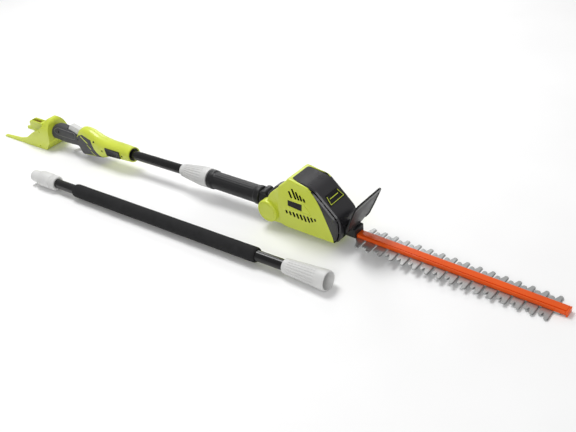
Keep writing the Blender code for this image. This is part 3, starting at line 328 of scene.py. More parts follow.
class Nodes:
    """A short way to write a material's nodes."""

    def __init__(self, name):
        self.material = bpy.data.materials.new(name)
        self.material.use_nodes = True
        self.tree = self.material.node_tree
        self.shader = self.tree.nodes["Principled BSDF"]
        self.spot = self.add("ShaderNodeTexCoord").outputs["Object"]

    def add(self, kind, **values):
        node = self.tree.nodes.new(kind)
        for key, value in values.items():
            if hasattr(node, key):
                setattr(node, key, value)
            else:
                node.inputs[key].default_value = value
        return node

    def link(self, source, target):
        self.tree.links.new(source, target)

    def stretched(self, scale, rotation=(0.0, 0.0, 0.0)):
        node = self.add("ShaderNodeMapping")
        node.inputs["Scale"].default_value = scale
        node.inputs["Rotation"].default_value = rotation
        self.link(self.spot, node.inputs["Vector"])
        return node.outputs["Vector"]

    def noise(self, scale, detail=3.0, roughness=0.55, vector=None):
        node = self.add("ShaderNodeTexNoise", Scale=scale, Detail=detail, Roughness=roughness)
        self.link(vector or self.spot, node.inputs["Vector"])
        return node.outputs["Fac"]

    def cells(self, scale):
        node = self.add("ShaderNodeTexVoronoi", Scale=scale)
        self.link(self.spot, node.inputs["Vector"])
        return node.outputs["Distance"]

    def ramp(self, source, low, high, from_low=0.0, from_high=1.0):
        spans = {"From Min": from_low, "From Max": from_high, "To Min": low, "To Max": high}
        node = self.add("ShaderNodeMapRange", **spans)
        self.link(source, node.inputs["Value"])
        return node.outputs["Result"]

    def share(self, source, low=0.3, high=0.7):
        """Spread the middle of a noise over 0 to 1."""
        return self.ramp(source, 0.0, 1.0, low, high)

    def fill(self, node, first, second, values):
        """Give two sockets of a node a plain value or a link each."""
        for socket, value in zip((first, second), values):
            if isinstance(value, bpy.types.NodeSocket):
                self.link(value, node.inputs[socket])
            elif isinstance(value, tuple):
                node.inputs[socket].default_value = (*value, 1.0)
            else:
                node.inputs[socket].default_value = value

    def mixed(self, factor, first, second):
        node = self.add("ShaderNodeMix", data_type="RGBA")
        self.link(factor, node.inputs["Factor"])
        self.fill(node, 6, 7, (first, second))
        return node.outputs[2]

    def maths(self, operation, first, second):
        node = self.add("ShaderNodeMath", operation=operation)
        self.fill(node, 0, 1, (first, second))
        return node.outputs["Value"]

    def worn_edges(self, radius):
        """1 on edges that a hand or a box would rub, broken up by noise, and 0 elsewhere."""
        bevel = self.add("ShaderNodeBevel", samples=4)
        bevel.inputs["Radius"].default_value = radius * MM
        geometry = self.add("ShaderNodeNewGeometry")
        dot = self.add("ShaderNodeVectorMath", operation="DOT_PRODUCT")
        self.fill(dot, 0, 1, (bevel.outputs["Normal"], geometry.outputs["Normal"]))
        edge = self.ramp(dot.outputs["Value"], 1.0, 0.0, 0.80, 0.985)
        broken = self.share(self.noise(260.0, 4.0), 0.42, 0.62)
        return self.maths("MULTIPLY", edge, broken)

    def bump(self, *layers):
        """Stack bumps of (height, strength, distance in mm) under the shader's normal."""
        normal = None
        for height, strength, distance in layers:
            node = self.add("ShaderNodeBump", Strength=strength, Distance=distance * MM)
            self.link(height, node.inputs["Height"])
            if normal is not None:
                self.link(normal, node.inputs["Normal"])
            normal = node.outputs["Normal"]
        self.link(normal, self.shader.inputs["Normal"])

    def colour(self, source):
        self.link(source, self.shader.inputs["Base Color"])

    def roughness(self, source):
        self.link(source, self.shader.inputs["Roughness"])

    def set(self, **values):
        for key, value in values.items():
            self.shader.inputs[key.replace("_", " ")].default_value = value


def moulded_plastic(
    name, colour, shade, worn, rough=(0.30, 0.42), grain=0.03, wear=0.5, coat=0.0, shine=0.5
):
    """Injection-moulded plastic: slight colour drift, a fine spark-eroded grain, and rubbed edges."""
    nodes = Nodes(name)
    drift = nodes.share(nodes.noise(9.0, 2.0))
    base = nodes.mixed(drift, shade, colour)
    speck = nodes.ramp(nodes.noise(700.0, 2.0), 0.0, 0.25, 0.60, 0.75)
    base = nodes.mixed(speck, base, shade)
    edges = nodes.maths("MULTIPLY", nodes.worn_edges(0.9), wear)
    nodes.colour(nodes.mixed(edges, base, worn))
    smudges = nodes.noise(38.0, 5.0, 0.65)
    nodes.roughness(nodes.ramp(smudges, *rough, 0.3, 0.7))
    nodes.bump((nodes.noise(1500.0, 2.0), 0.35, grain), (nodes.noise(60.0, 2.0), 0.15, 0.06))
    nodes.set(Coat_Weight=coat, Coat_Roughness=0.18, Specular_IOR_Level=shine)
    return nodes.material


def coated_tube(name, dark, light):
    """Gloss black lacquer on an aluminium tube, with faint drawing lines along it."""
    nodes = Nodes(name)
    lines = nodes.noise(1.0, 2.0, 0.5, nodes.stretched((6.0, 420.0, 420.0)))
    nodes.colour(nodes.mixed(nodes.share(lines, 0.35, 0.65), dark, light))
    nodes.roughness(nodes.ramp(nodes.noise(30.0, 5.0), 0.14, 0.26, 0.3, 0.7))
    nodes.bump((lines, 0.12, 0.02), (nodes.noise(160.0, 3.0), 0.10, 0.03))
    nodes.set(Coat_Weight=0.15, Coat_Roughness=0.08, Specular_IOR_Level=0.25)
    return nodes.material


def brushed_metal(name, light, dark, stretch, rough=(0.26, 0.44), metallic=1.0):
    """Metal with fine drawing or grinding lines and faint stains."""
    nodes = Nodes(name)
    lines = nodes.noise(1.0, 4.0, 0.6, nodes.stretched(stretch))
    stain = nodes.ramp(nodes.noise(24.0, 4.0), 0.0, 0.6, 0.45, 0.75)
    base = nodes.mixed(nodes.share(lines), light, dark)
    nodes.colour(nodes.mixed(stain, base, dark))
    nodes.roughness(nodes.ramp(lines, *rough, 0.3, 0.7))
    nodes.bump((lines, 0.25, 0.012))
    nodes.set(Metallic=metallic)
    return nodes.material


def painted_steel(name, colour, shade, worn):
    """Powder coat: orange peel, drift in tone along the bar, and bare metal on rubbed edges."""
    nodes = Nodes(name)
    drift = nodes.share(nodes.noise(7.0, 3.0))
    base = nodes.mixed(drift, shade, colour)
    edges = nodes.maths("MULTIPLY", nodes.worn_edges(0.7), 0.45)
    nodes.colour(nodes.mixed(edges, base, worn))
    scuffs = nodes.noise(1.0, 4.0, 0.6, nodes.stretched((30.0, 500.0, 500.0)))
    nodes.roughness(nodes.ramp(scuffs, 0.28, 0.42, 0.3, 0.7))
    nodes.bump((nodes.noise(420.0, 2.0), 0.25, 0.03), (scuffs, 0.08, 0.02))
    nodes.set(Coat_Weight=0.1, Coat_Roughness=0.2, Specular_IOR_Level=0.3)
    return nodes.material


def closed_cell_foam(name, dark, light):
    """Matt foam with pits, mottling and a little dust."""
    nodes = Nodes(name)
    pits = nodes.cells(900.0)
    mottle = nodes.noise(45.0, 5.0, 0.6)
    base = nodes.mixed(nodes.share(mottle), dark, light)
    dust = nodes.ramp(nodes.noise(1100.0, 2.0), 0.0, 0.5, 0.60, 0.72)
    nodes.colour(nodes.mixed(dust, base, light))
    nodes.roughness(nodes.ramp(mottle, 0.80, 0.96, 0.3, 0.7))
    nodes.bump((pits, 0.55, 0.14), (nodes.noise(110.0, 4.0), 0.35, 0.25))
    nodes.set(Specular_IOR_Level=0.2)
    return nodes.material


LIME = moulded_plastic("lime_moulding", (0.60, 0.68, 0.052), (0.54, 0.62, 0.044), (0.74, 0.79, 0.13), coat=0.15)
LIME_INLAY = moulded_plastic("lime_inlay", (0.62, 0.72, 0.05), (0.56, 0.65, 0.04), (0.75, 0.82, 0.2), wear=0.2)
GREY = moulded_plastic(
    "grey_moulding", (0.060, 0.060, 0.064), (0.046, 0.046, 0.050), (0.13, 0.13, 0.135),
    rough=(0.42, 0.56), grain=0.06, shine=0.3,
)
LIGHT_GREY = moulded_plastic(
    "panel_line", (0.22, 0.22, 0.215), (0.17, 0.17, 0.17), (0.3, 0.3, 0.3),
    rough=(0.45, 0.6), grain=0.04, wear=0.3,
)
BLACK = moulded_plastic(
    "black_moulding", (0.014, 0.014, 0.015), (0.010, 0.010, 0.011), (0.06, 0.06, 0.062),
    rough=(0.32, 0.46), grain=0.05, wear=0.4, shine=0.3,
)
GLOSS_BLACK = moulded_plastic(
    "gloss_black", (0.008, 0.008, 0.009), (0.006, 0.006, 0.007), (0.05, 0.05, 0.052),
    rough=(0.24, 0.36), grain=0.02, wear=0.4, coat=0.1, shine=0.2,
)
COVER = moulded_plastic(
    "cover_moulding", (0.020, 0.019, 0.022), (0.014, 0.013, 0.016), (0.07, 0.07, 0.073),
    rough=(0.26, 0.38), wear=0.4, coat=0.2, shine=0.45,
)
GUARD_FACE = moulded_plastic(
    "guard_face", (0.035, 0.036, 0.038), (0.026, 0.027, 0.029), (0.10, 0.10, 0.105),
    rough=(0.34, 0.48), grain=0.05, wear=0.4, shine=0.35,
)
WHITE = moulded_plastic(
    "white_moulding", (0.64, 0.64, 0.63), (0.57, 0.57, 0.56), (0.74, 0.74, 0.73),
    rough=(0.38, 0.50), grain=0.04, wear=0.35,
)
TUBE = coated_tube("tube_lacquer", (0.004, 0.004, 0.0045), (0.008, 0.008, 0.0085))
ROUND_METAL = (500.0, 500.0, 40.0)
ACROSS_BLADE = (700.0, 30.0, 700.0)
STEEL = brushed_metal("machined_steel", (0.66, 0.67, 0.67), (0.46, 0.47, 0.48), ROUND_METAL)
DARK_STEEL = brushed_metal(
    "black_oxide", (0.075, 0.075, 0.08), (0.045, 0.045, 0.05), ROUND_METAL, (0.35, 0.5), 0.9
)
BLADE_STEEL = brushed_metal(
    "blade_steel", (0.56, 0.57, 0.56), (0.40, 0.41, 0.41), ACROSS_BLADE, (0.34, 0.5), 0.9
)
COPPER = brushed_metal("plated_copper", (0.76, 0.46, 0.27), (0.58, 0.33, 0.19), ROUND_METAL, (0.22, 0.36))
ORANGE = painted_steel("orange_coat", (0.85, 0.105, 0.004), (0.72, 0.082, 0.003), (0.88, 0.24, 0.06))
FOAM = closed_cell_foam("grip_foam", (0.012, 0.012, 0.0125), (0.022, 0.022, 0.023))

# ---- battery dock

DOCK_OUTLINE = [
    (-1113, -50), (-1086, -18), (-1084, 0), (-1085, 36), (-1090, 43), (-1097, 46.5), (-1104, 41),
    (-1113, 27), (-1127, 14), (-1165, -3), (-1202, -27), (-1240, -37), (-1300, -41), (-1320, -42.5),
    (-1323, -45), (-1322, -48.3),
]
DOCK_ARCH = [(38, -80), (38, -6), (35, 12), (28, 29), (17, 42), (6, 48.5)]
BAY_ARCH = [(31.5, -80), (31.5, -6), (28.5, 10), (22, 24), (12, 36), (5, 42)]
BAY_OUTLINE = [
    (-1117, -44), (-1092, -14), (-1091, 30), (-1094, 39.5), (-1098, 41.5), (-1102, 37.5), (-1111, 24),
    (-1125, 10.5), (-1142, 2.5), (-1142, 60), (-1350, 60), (-1350, -42),
]
U_CUT = [(-1350, 31), (-1268, 31), (-1245, 21), (-1224, 12), (-1216, 0)]
FAR_PRONG_END = -1300.0
DOCK_HALF_WIDTH = 39.0
DOCK_SCREWS = [(-1128.0, 6.0), (-1140.0, -41.0)]
DOCK_BORE_SPANS = {"right": (-46.0, -34.0), "left": (37.0, 46.0)}
TERMINAL_GROOVE = 8.5
TOWER_OUTLINE = [
    (-1200, 18.6), (-1143, 18.6), (-1143, -2), (-1118, -6), (-1118, -43.4), (-1168, -43.4), (-1184, -18),
    (-1207, -3.5), (-1207, 11),
]


def half_space(side):
    """A block that holds one side of the tool, short of the parting line."""
    reach = 400.0
    low, high = ((-reach, -GAP / 2), (GAP / 2, reach))[side == "left"]
    return block("half_" + side, (-3000.0, low, -reach), (3000.0, high, reach))


def build_dock():
    """Two moulded halves under an arched roof, with the battery bay cut out of them."""
    arch = slab("dock_arch", softened(mirrored(DOCK_ARCH), 9.0), -1343.0, -1000.0, FRONT)
    bay = slab("bay", softened(BAY_OUTLINE, 3.0), -60.0, 60.0)
    keep(bay, slab("bay_arch", softened(mirrored(BAY_ARCH), 8.0), -1345.0, -1050.0, FRONT))
    notch = slab("notch", softened(both_sides(U_CUT), 5.0), -90.0, 90.0, PLAN)
    for side in SIDES:
        outline = softened(DOCK_OUTLINE, 4.0)
        shell = slab("dock_shell_" + side, outline, -DOCK_HALF_WIDTH, DOCK_HALF_WIDTH)
        keep(shell, arch, keep_tools=True)
        bevelled(shell, 2.6, 4, 40.0)
        cut(shell, bay, notch, keep_tools=True)
        keep(shell, half_space(side))
        if side == "left":
            cut(shell, block("prong_end", (-1400, 1, -90), (FAR_PRONG_END, 60, 90)))
        for x, z in DOCK_SCREWS:
            cut(shell, rod("dock_screw_bore", 2.6, *DOCK_BORE_SPANS[side], (x, 0, z), steps=24))
        bevelled(shell, 0.5, 2)
        finish_piece(shell, "handle", "lime_plastic", LIME, "dock_" + side)
    remove(arch, bay, notch)


def build_terminals():
    """The tower that the battery plugs on to, and its two contacts."""
    tower = slab("terminal_tower", softened(TOWER_OUTLINE, 2.5), -11.0, 11.0)
    cut(tower, block("tower_slot", (-1199, -6, 5), (-1152, 6, 60)))
    for y in (-TERMINAL_GROOVE, TERMINAL_GROOVE):
        cut(tower, block("tower_groove", (-1196, y - 0.6, 17.4), (-1150, y + 0.6, 30)))
    bevelled(tower, 0.8, 3, 40.0)
    finish_piece(tower, "handle", "lime_plastic", LIME, "terminal_block")
    for name in ("contact_positive", "contact_negative"):
        finish_piece(copied(name + "_blade", name, 0.3), "handle", "copper", COPPER, name)


# ---- grip and front housing

BODY_STATIONS = [
    (-1083.6, -20.5, 24.5, 22.5, 2.0), (-1074, -22.5, 28.0, 20.0, 2.1), (-1062, -24.0, 31.0, 17.5, 2.5),
    (-1045, -23.6, 30.5, 16.5, 2.9), (-1012, -22.5, 26.0, 16.0, 3.0), (-986, -21.5, 19.5, 15.8, 3.0),
    (-977, -23.0, 15.5, 16.3, 3.0), (-967, -45.0, 31.0, 17.5, 3.0), (-957, -45.0, 39.5, 18.6, 2.8),
    (-948, -44.5, 43.5, 19.6, 2.7), (-935, -43.0, 45.3, 20.8, 2.6), (-920, -41.2, 43.5, 22.0, 2.5),
    (-900, -38.9, 36.5, 23.2, 2.4), (-884, -37.0, 30.5, 23.6, 2.3), (-872, -34.0, 27.8, 23.8, 2.2),
    (-855, -27.0, 25.0, 23.7, 2.1), (-841, -23.5, 23.5, 23.5, 2.0), (-795, -22.7, 22.7, 22.7, 2.0),
    (-752, -21.0, 21.0, 21.0, 2.0),
]
COLOUR_LINE = [
    (-979, 90.0), (-978, 11.0), (-963, 21.0), (-942, 28.0), (-905, 20.0), (-896, -5.0), (-875, -32.0),
    (-868, -60.0),
]
BODY_SIDES = 72
BODY_STEP = 3.0
BODY_SCREWS = [(-1056, 12.5, 16.4), (-971, 5.5, 16.4), (-893, 17, 22.0), (-861, -3, 23.6), (-780, -1, 22.2)]
GRIP_PANEL = [(-1077, 17), (-1071, 6), (-1058, 1), (-992, 0), (-984, 4), (-984, 16), (-992, 20), (-1060, 25)]
DASHES = [
    [(-953, 20.5), (-950, 22.5), (-921.5, 9.0), (-922.5, 5.5)],
    [(-927.5, 1.5), (-924, 1.5), (-911, -8.5), (-913.5, -10.5)],
    [(-918, -15.5), (-914, -16.5), (-901.5, -29.0), (-904, -31.5)],
    [(-958, -38.4), (-958, -40.6), (-903, -31.9), (-905, -29.7)],
]


def eased(table, x):
    """Read a table of (x, values...) with smooth curves that never pass its own values."""
    for index in range(len(table) - 2):
        if x <= table[index + 1][0]:
            break
    else:
        index = len(table) - 2
    here, ahead = table[index], table[index + 1]
    span = ahead[0] - here[0]
    t = min(max((x - here[0]) / span, 0.0), 1.0)

    def rise(at, column):
        return (table[at][column] - table[at - 1][column]) / (table[at][0] - table[at - 1][0])

    def slope(at, column):
        if at == 0:
            return 0.0
        if at == len(table) - 1:
            return rise(at, column)
        left, right = rise(at, column), rise(at + 1, column)
        return 0.0 if left * right <= 0.0 else 2.0 * left * right / (left + right)

    result = []
    for column in range(1, len(here)):
        start, end = slope(index, column) * span, slope(index + 1, column) * span
        result.append(
            here[column] * (2 * t ** 3 - 3 * t ** 2 + 1) + start * (t ** 3 - 2 * t ** 2 + t)
            + ahead[column] * (3 * t ** 2 - 2 * t ** 3) + end * (t ** 3 - t ** 2)
        )
    return result


def body_loft(name, shrink=0.0, first=BODY_STATIONS[0][0], last=BODY_STATIONS[-1][0]):
    """The smooth outer form of the grip, wedge and front housing."""
    count = math.ceil((last - first) / BODY_STEP)
    shape = bmesh.new()
    rings = []
    for step in range(count + 1):
        x = first + (last - first) * step / count
        z_low, z_high, half_width, squareness = eased(BODY_STATIONS, x)
        middle = (z_low + z_high) / 2
        half_height = (z_high - z_low) / 2 - shrink
        ring = []
        for index in range(BODY_SIDES):
            angle = math.tau * index / BODY_SIDES
            across = math.copysign(abs(math.cos(angle)) ** (2 / squareness), math.cos(angle))
            up = math.copysign(abs(math.sin(angle)) ** (2 / squareness), math.sin(angle))
            ring.append(shape.verts.new((x, across * (half_width - shrink), middle + up * half_height)))
        rings.append(ring)
    bridge(shape, rings)
    return object_from(name, shape, TOOL)


OUTWARD = {"right": (-60.0, -8.0), "left": (8.0, 60.0)}
OUTWARD_PAST = {"right": (-70.0, -1.0), "left": (1.0, 70.0)}


def build_handle():
    """The grip's dark halves and the front housing's lime halves, parted along the colour line."""
    whole = body_loft("body")
    cut(whole, rod("tube_hole", 17.9, -830.0, -700.0, (0, 0, 0), "X", TOOL))
    cut(whole, block("lock_pocket", (-1023, -7.6, 5), (-952, 7.6, 60)))
    cut(whole, block("trigger_slot", (-990, -6.8, -41.2), (-940, 6.8, -16)))
    hump_slot = softened([(-916, 52), (-888, 38), (-889, 32), (-917, 44)], 1.5)
    for sign in SIGNS:
        cut(whole, slab("hump_slot", hump_slot, *sideways(sign, 12.5, 17.0)))
    for x, z, y in BODY_SCREWS:
        cut(whole, rod("screw_bore", 3.5, -y - 6.0, -y + 6.0, (x, 0, z), steps=32))
    lime_region = shifted(COLOUR_LINE + [(-700, -60), (-700, 90)], 0.25, 0.25)
    grey_region = shifted(COLOUR_LINE[::-1] + [(-1100, 90), (-1100, -90), (-868, -90)], -0.25, -0.25)
    halves = (
        ("grip", grey_region, "grey_plastic", GREY),
        ("front_housing", lime_region, "lime_plastic", LIME),
    )
    for name, region, slot, material in halves:
        part = new_object(name + "_whole", whole.data.copy())
        keep(part, slab("region", region, -60, 60))
        for side in SIDES:
            shell = new_object("%s_shell_%s" % (name, side), part.data.copy())
            keep(shell, half_space(side))
            finish_piece(shell, "handle", slot, material, "%s_%s" % (name, side))
        remove(part)
    remove(whole)


def build_side_lines():
    """Lime dashes and a panel line that follow the body's surface and stand a little proud of it."""
    for side in SIDES:
        for number, points in enumerate(DASHES, start=1):
            dash = body_loft("dash_%s_%d" % (side, number), -0.3)
            keep(dash, slab("dash_form", points, *OUTWARD[side]))
            cut(dash, body_loft("dash_core", 0.6))
            finish_piece(dash, "handle", "lime_plastic", LIME_INLAY)
        panel = body_loft("grip_panel_line_" + side, -0.15, -1083.0, -975.0)
        points = softened(GRIP_PANEL, 6.0)
        ring = slab("panel_ring", points, *OUTWARD[side])
        cut(ring, slab("ring_core", inset(points, 0.9), *OUTWARD_PAST[side]))
        keep(panel, ring)
        cut(panel, body_loft("panel_core", 0.5))
        finish_piece(panel, "handle", "grey_plastic", LIGHT_GREY)


def build_screws():
    """Pan-head screws with a six-lobed socket, each deep in its bore."""
    for number, (x, z, y) in enumerate(BODY_SCREWS, start=1):
        head = y - 1.0
        profile = [(-head, 2.2), (-head + 0.5, 2.9), (-head + 2.0, 3.0), (-head + 2.0, 1.7), (-head + 8.0, 1.7)]
        place = TOOL @ at(x, 0, z) @ AXIS_TURNS["Y"]
        screw = lathe("case_screw_%d" % number, profile, None, place, 32)
        lobes = []
        for step in range(12):
            reach, angle = (1.5 if step % 2 else 1.05), math.tau * step / 12
            lobes.append((x + reach * math.cos(angle), z + reach * math.sin(angle)))
        cut(screw, slab("socket", lobes, -head - 2.0, -head + 1.2))
        finish_piece(screw, "handle", "steel", DARK_STEEL, "screw_%d" % number)


TRIGGER_OUTLINE = [
    (-1026, -49.0), (-1024, -47.0), (-1000, -38.5), (-975, -33.0), (-955, -27.5), (-950, -26.0), (-944, -27.5),
    (-930, -25.0), (-930, -28.0), (-942, -34.0), (-948, -36.5), (-958, -35.0), (-976, -37.0), (-1000, -42.3),
]
LOCK_OUTLINE = [(-1003, 42), (-959, 33), (-955, 22), (-962, 14), (-1008, 13), (-1019, 25)]
NAME_PLATE = [(-846, 10.5), (-788, 9.5), (-785, -10), (-842, -12)]


def build_controls():
    """The trigger with its finger grooves, the ribbed lock-off lever and the blank plate."""
    trigger = slab("trigger_blade", softened(TRIGGER_OUTLINE, 2.0), -6.0, 6.0)
    cut(trigger, rod("trigger_eye", 2.3, -9.0, 9.0, (-948, 0, -31), steps=24))
    for x in (-1012, -1004, -996, -988):
        z = -35.9 + (x + 988) * 0.375
        cut(trigger, rod("finger_groove", 0.7, -9.0, 9.0, (x, 0, z), steps=12))
    bevelled(trigger, 0.8, 3, 40.0)
    finish_piece(trigger, "trigger", "white_plastic", WHITE, "trigger")
    lever = slab("lock_off_button", softened(LOCK_OUTLINE, 3.5), -7.0, 7.0)
    for index in range(7):
        x = -998.0 + index * 5.4
        z = 42.4 - (x + 1003) * 0.2045
        cut(lever, rod("lever_rib", 0.9, -9.0, 9.0, (x, 0, z), steps=12))
    bevelled(lever, 0.9, 3, 40.0)
    finish_piece(lever, "lock_off", "white_plastic", WHITE, "lock_off_lever")
    plate = slab("maker_plate", softened(NAME_PLATE, 1.5), -24.6, -19.6)
    cut(plate, body_loft("plate_seat", -0.3, -860.0, -770.0))
    cut(plate, slab("plate_recess", softened(inset(NAME_PLATE, 1.8), 1.0), -26.0, -24.25))
    bevelled(plate, 0.3, 2)
    finish_piece(plate, "handle", "black_plastic", GLOSS_BLACK, "name_plate")


# ---- shaft and pivot

TUBE_RADIUS = 12.7
TUBE_BORE = 11.2
FITTING_BORE = 13.1
COLLAR_PROFILE = [(-562, 15), (-556, 17.3), (-525, 21), (-492, 25), (-480, 25.4), (-466, 25.4), (-463, 24)]
SLEEVE_PROFILE = [
    (-461.8, 22.5), (-459.5, 24.6), (-447, 24.6), (-442, 22.2), (-308, 22.2), (-304, 23.8), (-293, 23.8),
    (-290, 21),
]
SLEEVE_BORE = [(-461.8, 13.3), (-415, 13.3), (-413, 18.4), (-290, 18.4)]


def fluted(start, end, count, depth, fade, share):
    """A relief of lengthwise grooves that fade in and out at their ends."""

    def relief(along, angle):
        reach = min(max(min(along - start, end - along) / fade, 0.0), 1.0)
        if reach <= 0.0:
            return 0.0
        wave = 0.5 + 0.5 * math.cos(angle * count)
        return depth * reach * max(0.0, (wave - 1.0 + share) / share)

    return relief


def straight_bore(radius, start, end):
    return [(start, radius), (end, radius)]


def fitting(name, profile, reach, spacing, place, steps, relief, bore=None):
    """A turned piece with rounded corners and enough rings to carry its relief."""
    bore = bore or straight_bore(FITTING_BORE, profile[0][0], profile[-1][0])
    outer = filled_profile(rounded_profile(profile, reach), spacing)
    return lathe(name, outer, bore, place, steps, relief)


def tube(name, start, end, place):
    """A drawn tube with the edges broken at both ends."""
    outer = [(start, 12.0), (start + 0.7, TUBE_RADIUS), (end - 0.7, TUBE_RADIUS), (end, 12.0)]
    return lathe(name, rounded_profile(outer, 0.5), straight_bore(TUBE_BORE, start, end), place)


def finish_white(obj, body, node):
    finish_piece(obj, body, "white_plastic", WHITE, node, angle=50.0)


def build_shaft():
    """The main tube, the bushing in the housing's mouth, the twist collar and the sleeve."""
    finish_piece(tube("shaft_tube", -815, -465, TOOL), "handle", "black_tube", TUBE, "main_tube")
    outer = rounded_profile([(-776, 16.4), (-774.5, 17.6), (-755.5, 17.6), (-753.5, 15.6)], 1.0)
    bushing = lathe("shaft_bushing", outer, straight_bore(13.0, -776, -753.5), TOOL)
    finish_piece(bushing, "handle", "black_plastic", BLACK, "tube_bushing")
    collar_flutes = fluted(-554, -478, 22, 1.4, 6.0, 0.4)
    collar = fitting("twist_collar", COLLAR_PROFILE, 4.0, 3.0, TOOL, 240, collar_flutes)
    finish_white(collar, "collar", "collar_nut")
    flutes = fluted(42.0, 172.0, 22, 0.45, 4.0, 0.45)

    def sleeve_relief(along, angle):
        """Shallow flutes along the top of the sleeve."""
        from_top = (angle - math.pi / 2 + math.pi) % math.tau - math.pi
        return flutes(along, angle) if abs(from_top) < 1.25 else 0.0

    profile, bore = (shifted(points, -SLEEVE_PIVOT_X) for points in (SLEEVE_PROFILE, SLEEVE_BORE))
    sleeve = fitting("shaft_sleeve", profile, 2.0, 8.0, SLEEVE, 176, sleeve_relief, bore)
    finish_piece(sleeve, "handle", "black_plastic", BLACK, "sleeve", angle=50.0)


LEVER_OUTLINE = [
    (-265, 18), (-238, 42), (-222, 50), (-217, 47), (-222, 36), (-231, 18), (-238, 15.5), (-250, 14.5),
]


NECK_PROFILE = [
    (-318, 17.5), (-289.2, 17.5), (-288.6, 20.6), (-284, 21.5), (-273, 21.3), (-262, 19.5), (-256, 19.5),
]
NECK_RAMP = [(-291, 4), (-287, 17.5), (-279, 20.5), (-271.5, 20.0), (-266.5, 15.0), (-264, 0)]
PIVOT_EYE = 5.3


def build_pivot():
    """The knuckle with its neck, and the tilt lever with its thumb ribs."""
    knuckle = rod("pivot_knuckle", 24.0, -21.8, 21.8, PIVOT, steps=96)
    neck = lathe("neck", shifted(rounded_profile(NECK_PROFILE, 2.0), -SLEEVE_PIVOT_X), None, SLEEVE, 72)
    join(knuckle, neck)
    join(knuckle, slab("ramp", softened(NECK_RAMP, 3.0), -15.0, 15.0))
    cut(knuckle, rod("eye", PIVOT_EYE, -40.0, 40.0, PIVOT, steps=32))
    bevelled(knuckle, 1.4)
    finish_piece(knuckle, "handle", "black_plastic", BLACK, "knuckle")
    lever = slab("release_lever", softened(LEVER_OUTLINE, 3.0), -11.0, 11.0)
    cut(lever, rod("lever_eye", 2.4, -13.0, 13.0, (-233, 0, 25), steps=24))
    for index in range(4):
        x, z = -259.5 + index * 5.0, 23.6 + index * 4.45
        cut(lever, rod("thumb_rib", 0.8, -13.0, 13.0, (x, 0, z), steps=12))
    bevelled(lever, 1.2, 3, 40.0)
    finish_piece(lever, "tilt_release", "grey_plastic", GREY, "tilt_lever")


# ---- cutting head

HEAD_OUTLINE = [
    (-216, -36), (-200, -42), (-130, -44.5), (-60, -46.5), (-50, -41), (-42, -20), (-40, 5), (-43, 20),
    (-68, 47), (-88, 68), (-99, 79), (-118, 85), (-146, 90), (-171, 95.5), (-178, 87), (-205, 65), (-211, 40),
    (-217, 0),
]
HEAD_HALF_WIDTH = 39.0
HOLLOW_HALF_WIDTH = 36.0
HEAD_BORDER = [
    (-58, -90), (-60.5, -31), (-71.5, 1), (-82.5, 32), (-91, 53), (-103, 72.5), (-116, 82.6), (-117, 130),
]
COVER_TOP_FLOOR = 78.0
COVER_TOP = [(-163.5, 0), (-163.5, 28), (-159, 31), (-147, 33), (-121, 36), (-108, 36), (-108, 0)]
EAR_WEB = [
    (-246, 16.8), (-240, 30), (-229, 43), (-200, 66), (-190, 40), (-190, -38), (-220, -37.5), (-246, -38.8),
]
HEAD_PLATE = [(-179, 37), (-139, 35), (-142, 17), (-181, 22)]
UPPER_VENTS = [
    (-171.5, 63.0, 18.5), (-161.5, 71.5, 27.5), (-151.5, 66.0, 22.0), (-141.5, 59.5, 15.5),
    (-131.5, 53.5, 9.5),
]
LOWER_VENT_LENGTHS = [9.0, 11.0, 13.0, 14.5, 15.5, 16.5, 16.0, 12.0, 7.0]
LOWER_VENT_START = (-188.6, 7.5)
LOWER_VENT_STEP = 10.25
VENT_HALF_WIDTH = 2.8
VENT_LEAN = 0.28
CHEVRON = [
    (-136, 41), (-131, 40), (-112, 16), (-117, 13), (-180, 17.8), (-180, 19.2), (-121, 15), (-117.5, 17),
]


def vent(x, z, length):
    """One leaning cooling slot with round ends, right through the head."""
    outline = softened(rectangle(-VENT_HALF_WIDTH, VENT_HALF_WIDTH, 0, -length), 2.0)
    return slab("vent", outline, -160.0, 160.0, SIDE, TOOL @ at(x, 0, z) @ turned_about_y(-VENT_LEAN))


def within(points, a, b):
    """Whether a point lies inside a closed outline."""
    inside = False
    for (a0, b0), (a1, b1) in zip(points, points[1:] + points[:1]):
        if (b0 > b) != (b1 > b) and a < a0 + (a1 - a0) * (b - b0) / (b1 - b0):
            inside = not inside
    return inside


def paint_hollow_shade(shell):
    """Paint shade on the faces that look into the head's hollow and on the walls of its cooling slots: they
    take the black moulding, which stands in for the unlit inside.
    """
    shell.data.materials.append(BLACK)
    back = TOOL.inverted()
    hollow = inset(HEAD_OUTLINE, 2.0)
    slots = inset(HEAD_OUTLINE, 5.0)
    # Painted shade: faces inside the hollow and inside the slots get material 1, the black moulding.
    for face in shell.data.polygons:
        centre = back @ face.center / MM
        deep = abs(centre.y) < 36.5 and within(hollow, centre.x, centre.z)
        if deep or (abs(centre.y) < 38.3 and within(slots, centre.x, centre.z)):
            face.material_index = 1


def head_body(name):
    return slab(name, softened(HEAD_OUTLINE, 8.0), -HEAD_HALF_WIDTH, HEAD_HALF_WIDTH)


def head_hollow():
    hollow = softened(inset(HEAD_OUTLINE, 3.0), 5.0)
    return slab("hollow", hollow, -HOLLOW_HALF_WIDTH, HOLLOW_HALF_WIDTH)


def top_panel(name, margin, high):
    """The outline of the cover's top part, drawn up through the head's roof."""
    outline = inset(both_sides(COVER_TOP), margin)
    return slab(name, softened(outline, 4.0), COVER_TOP_FLOOR, high, PLAN)


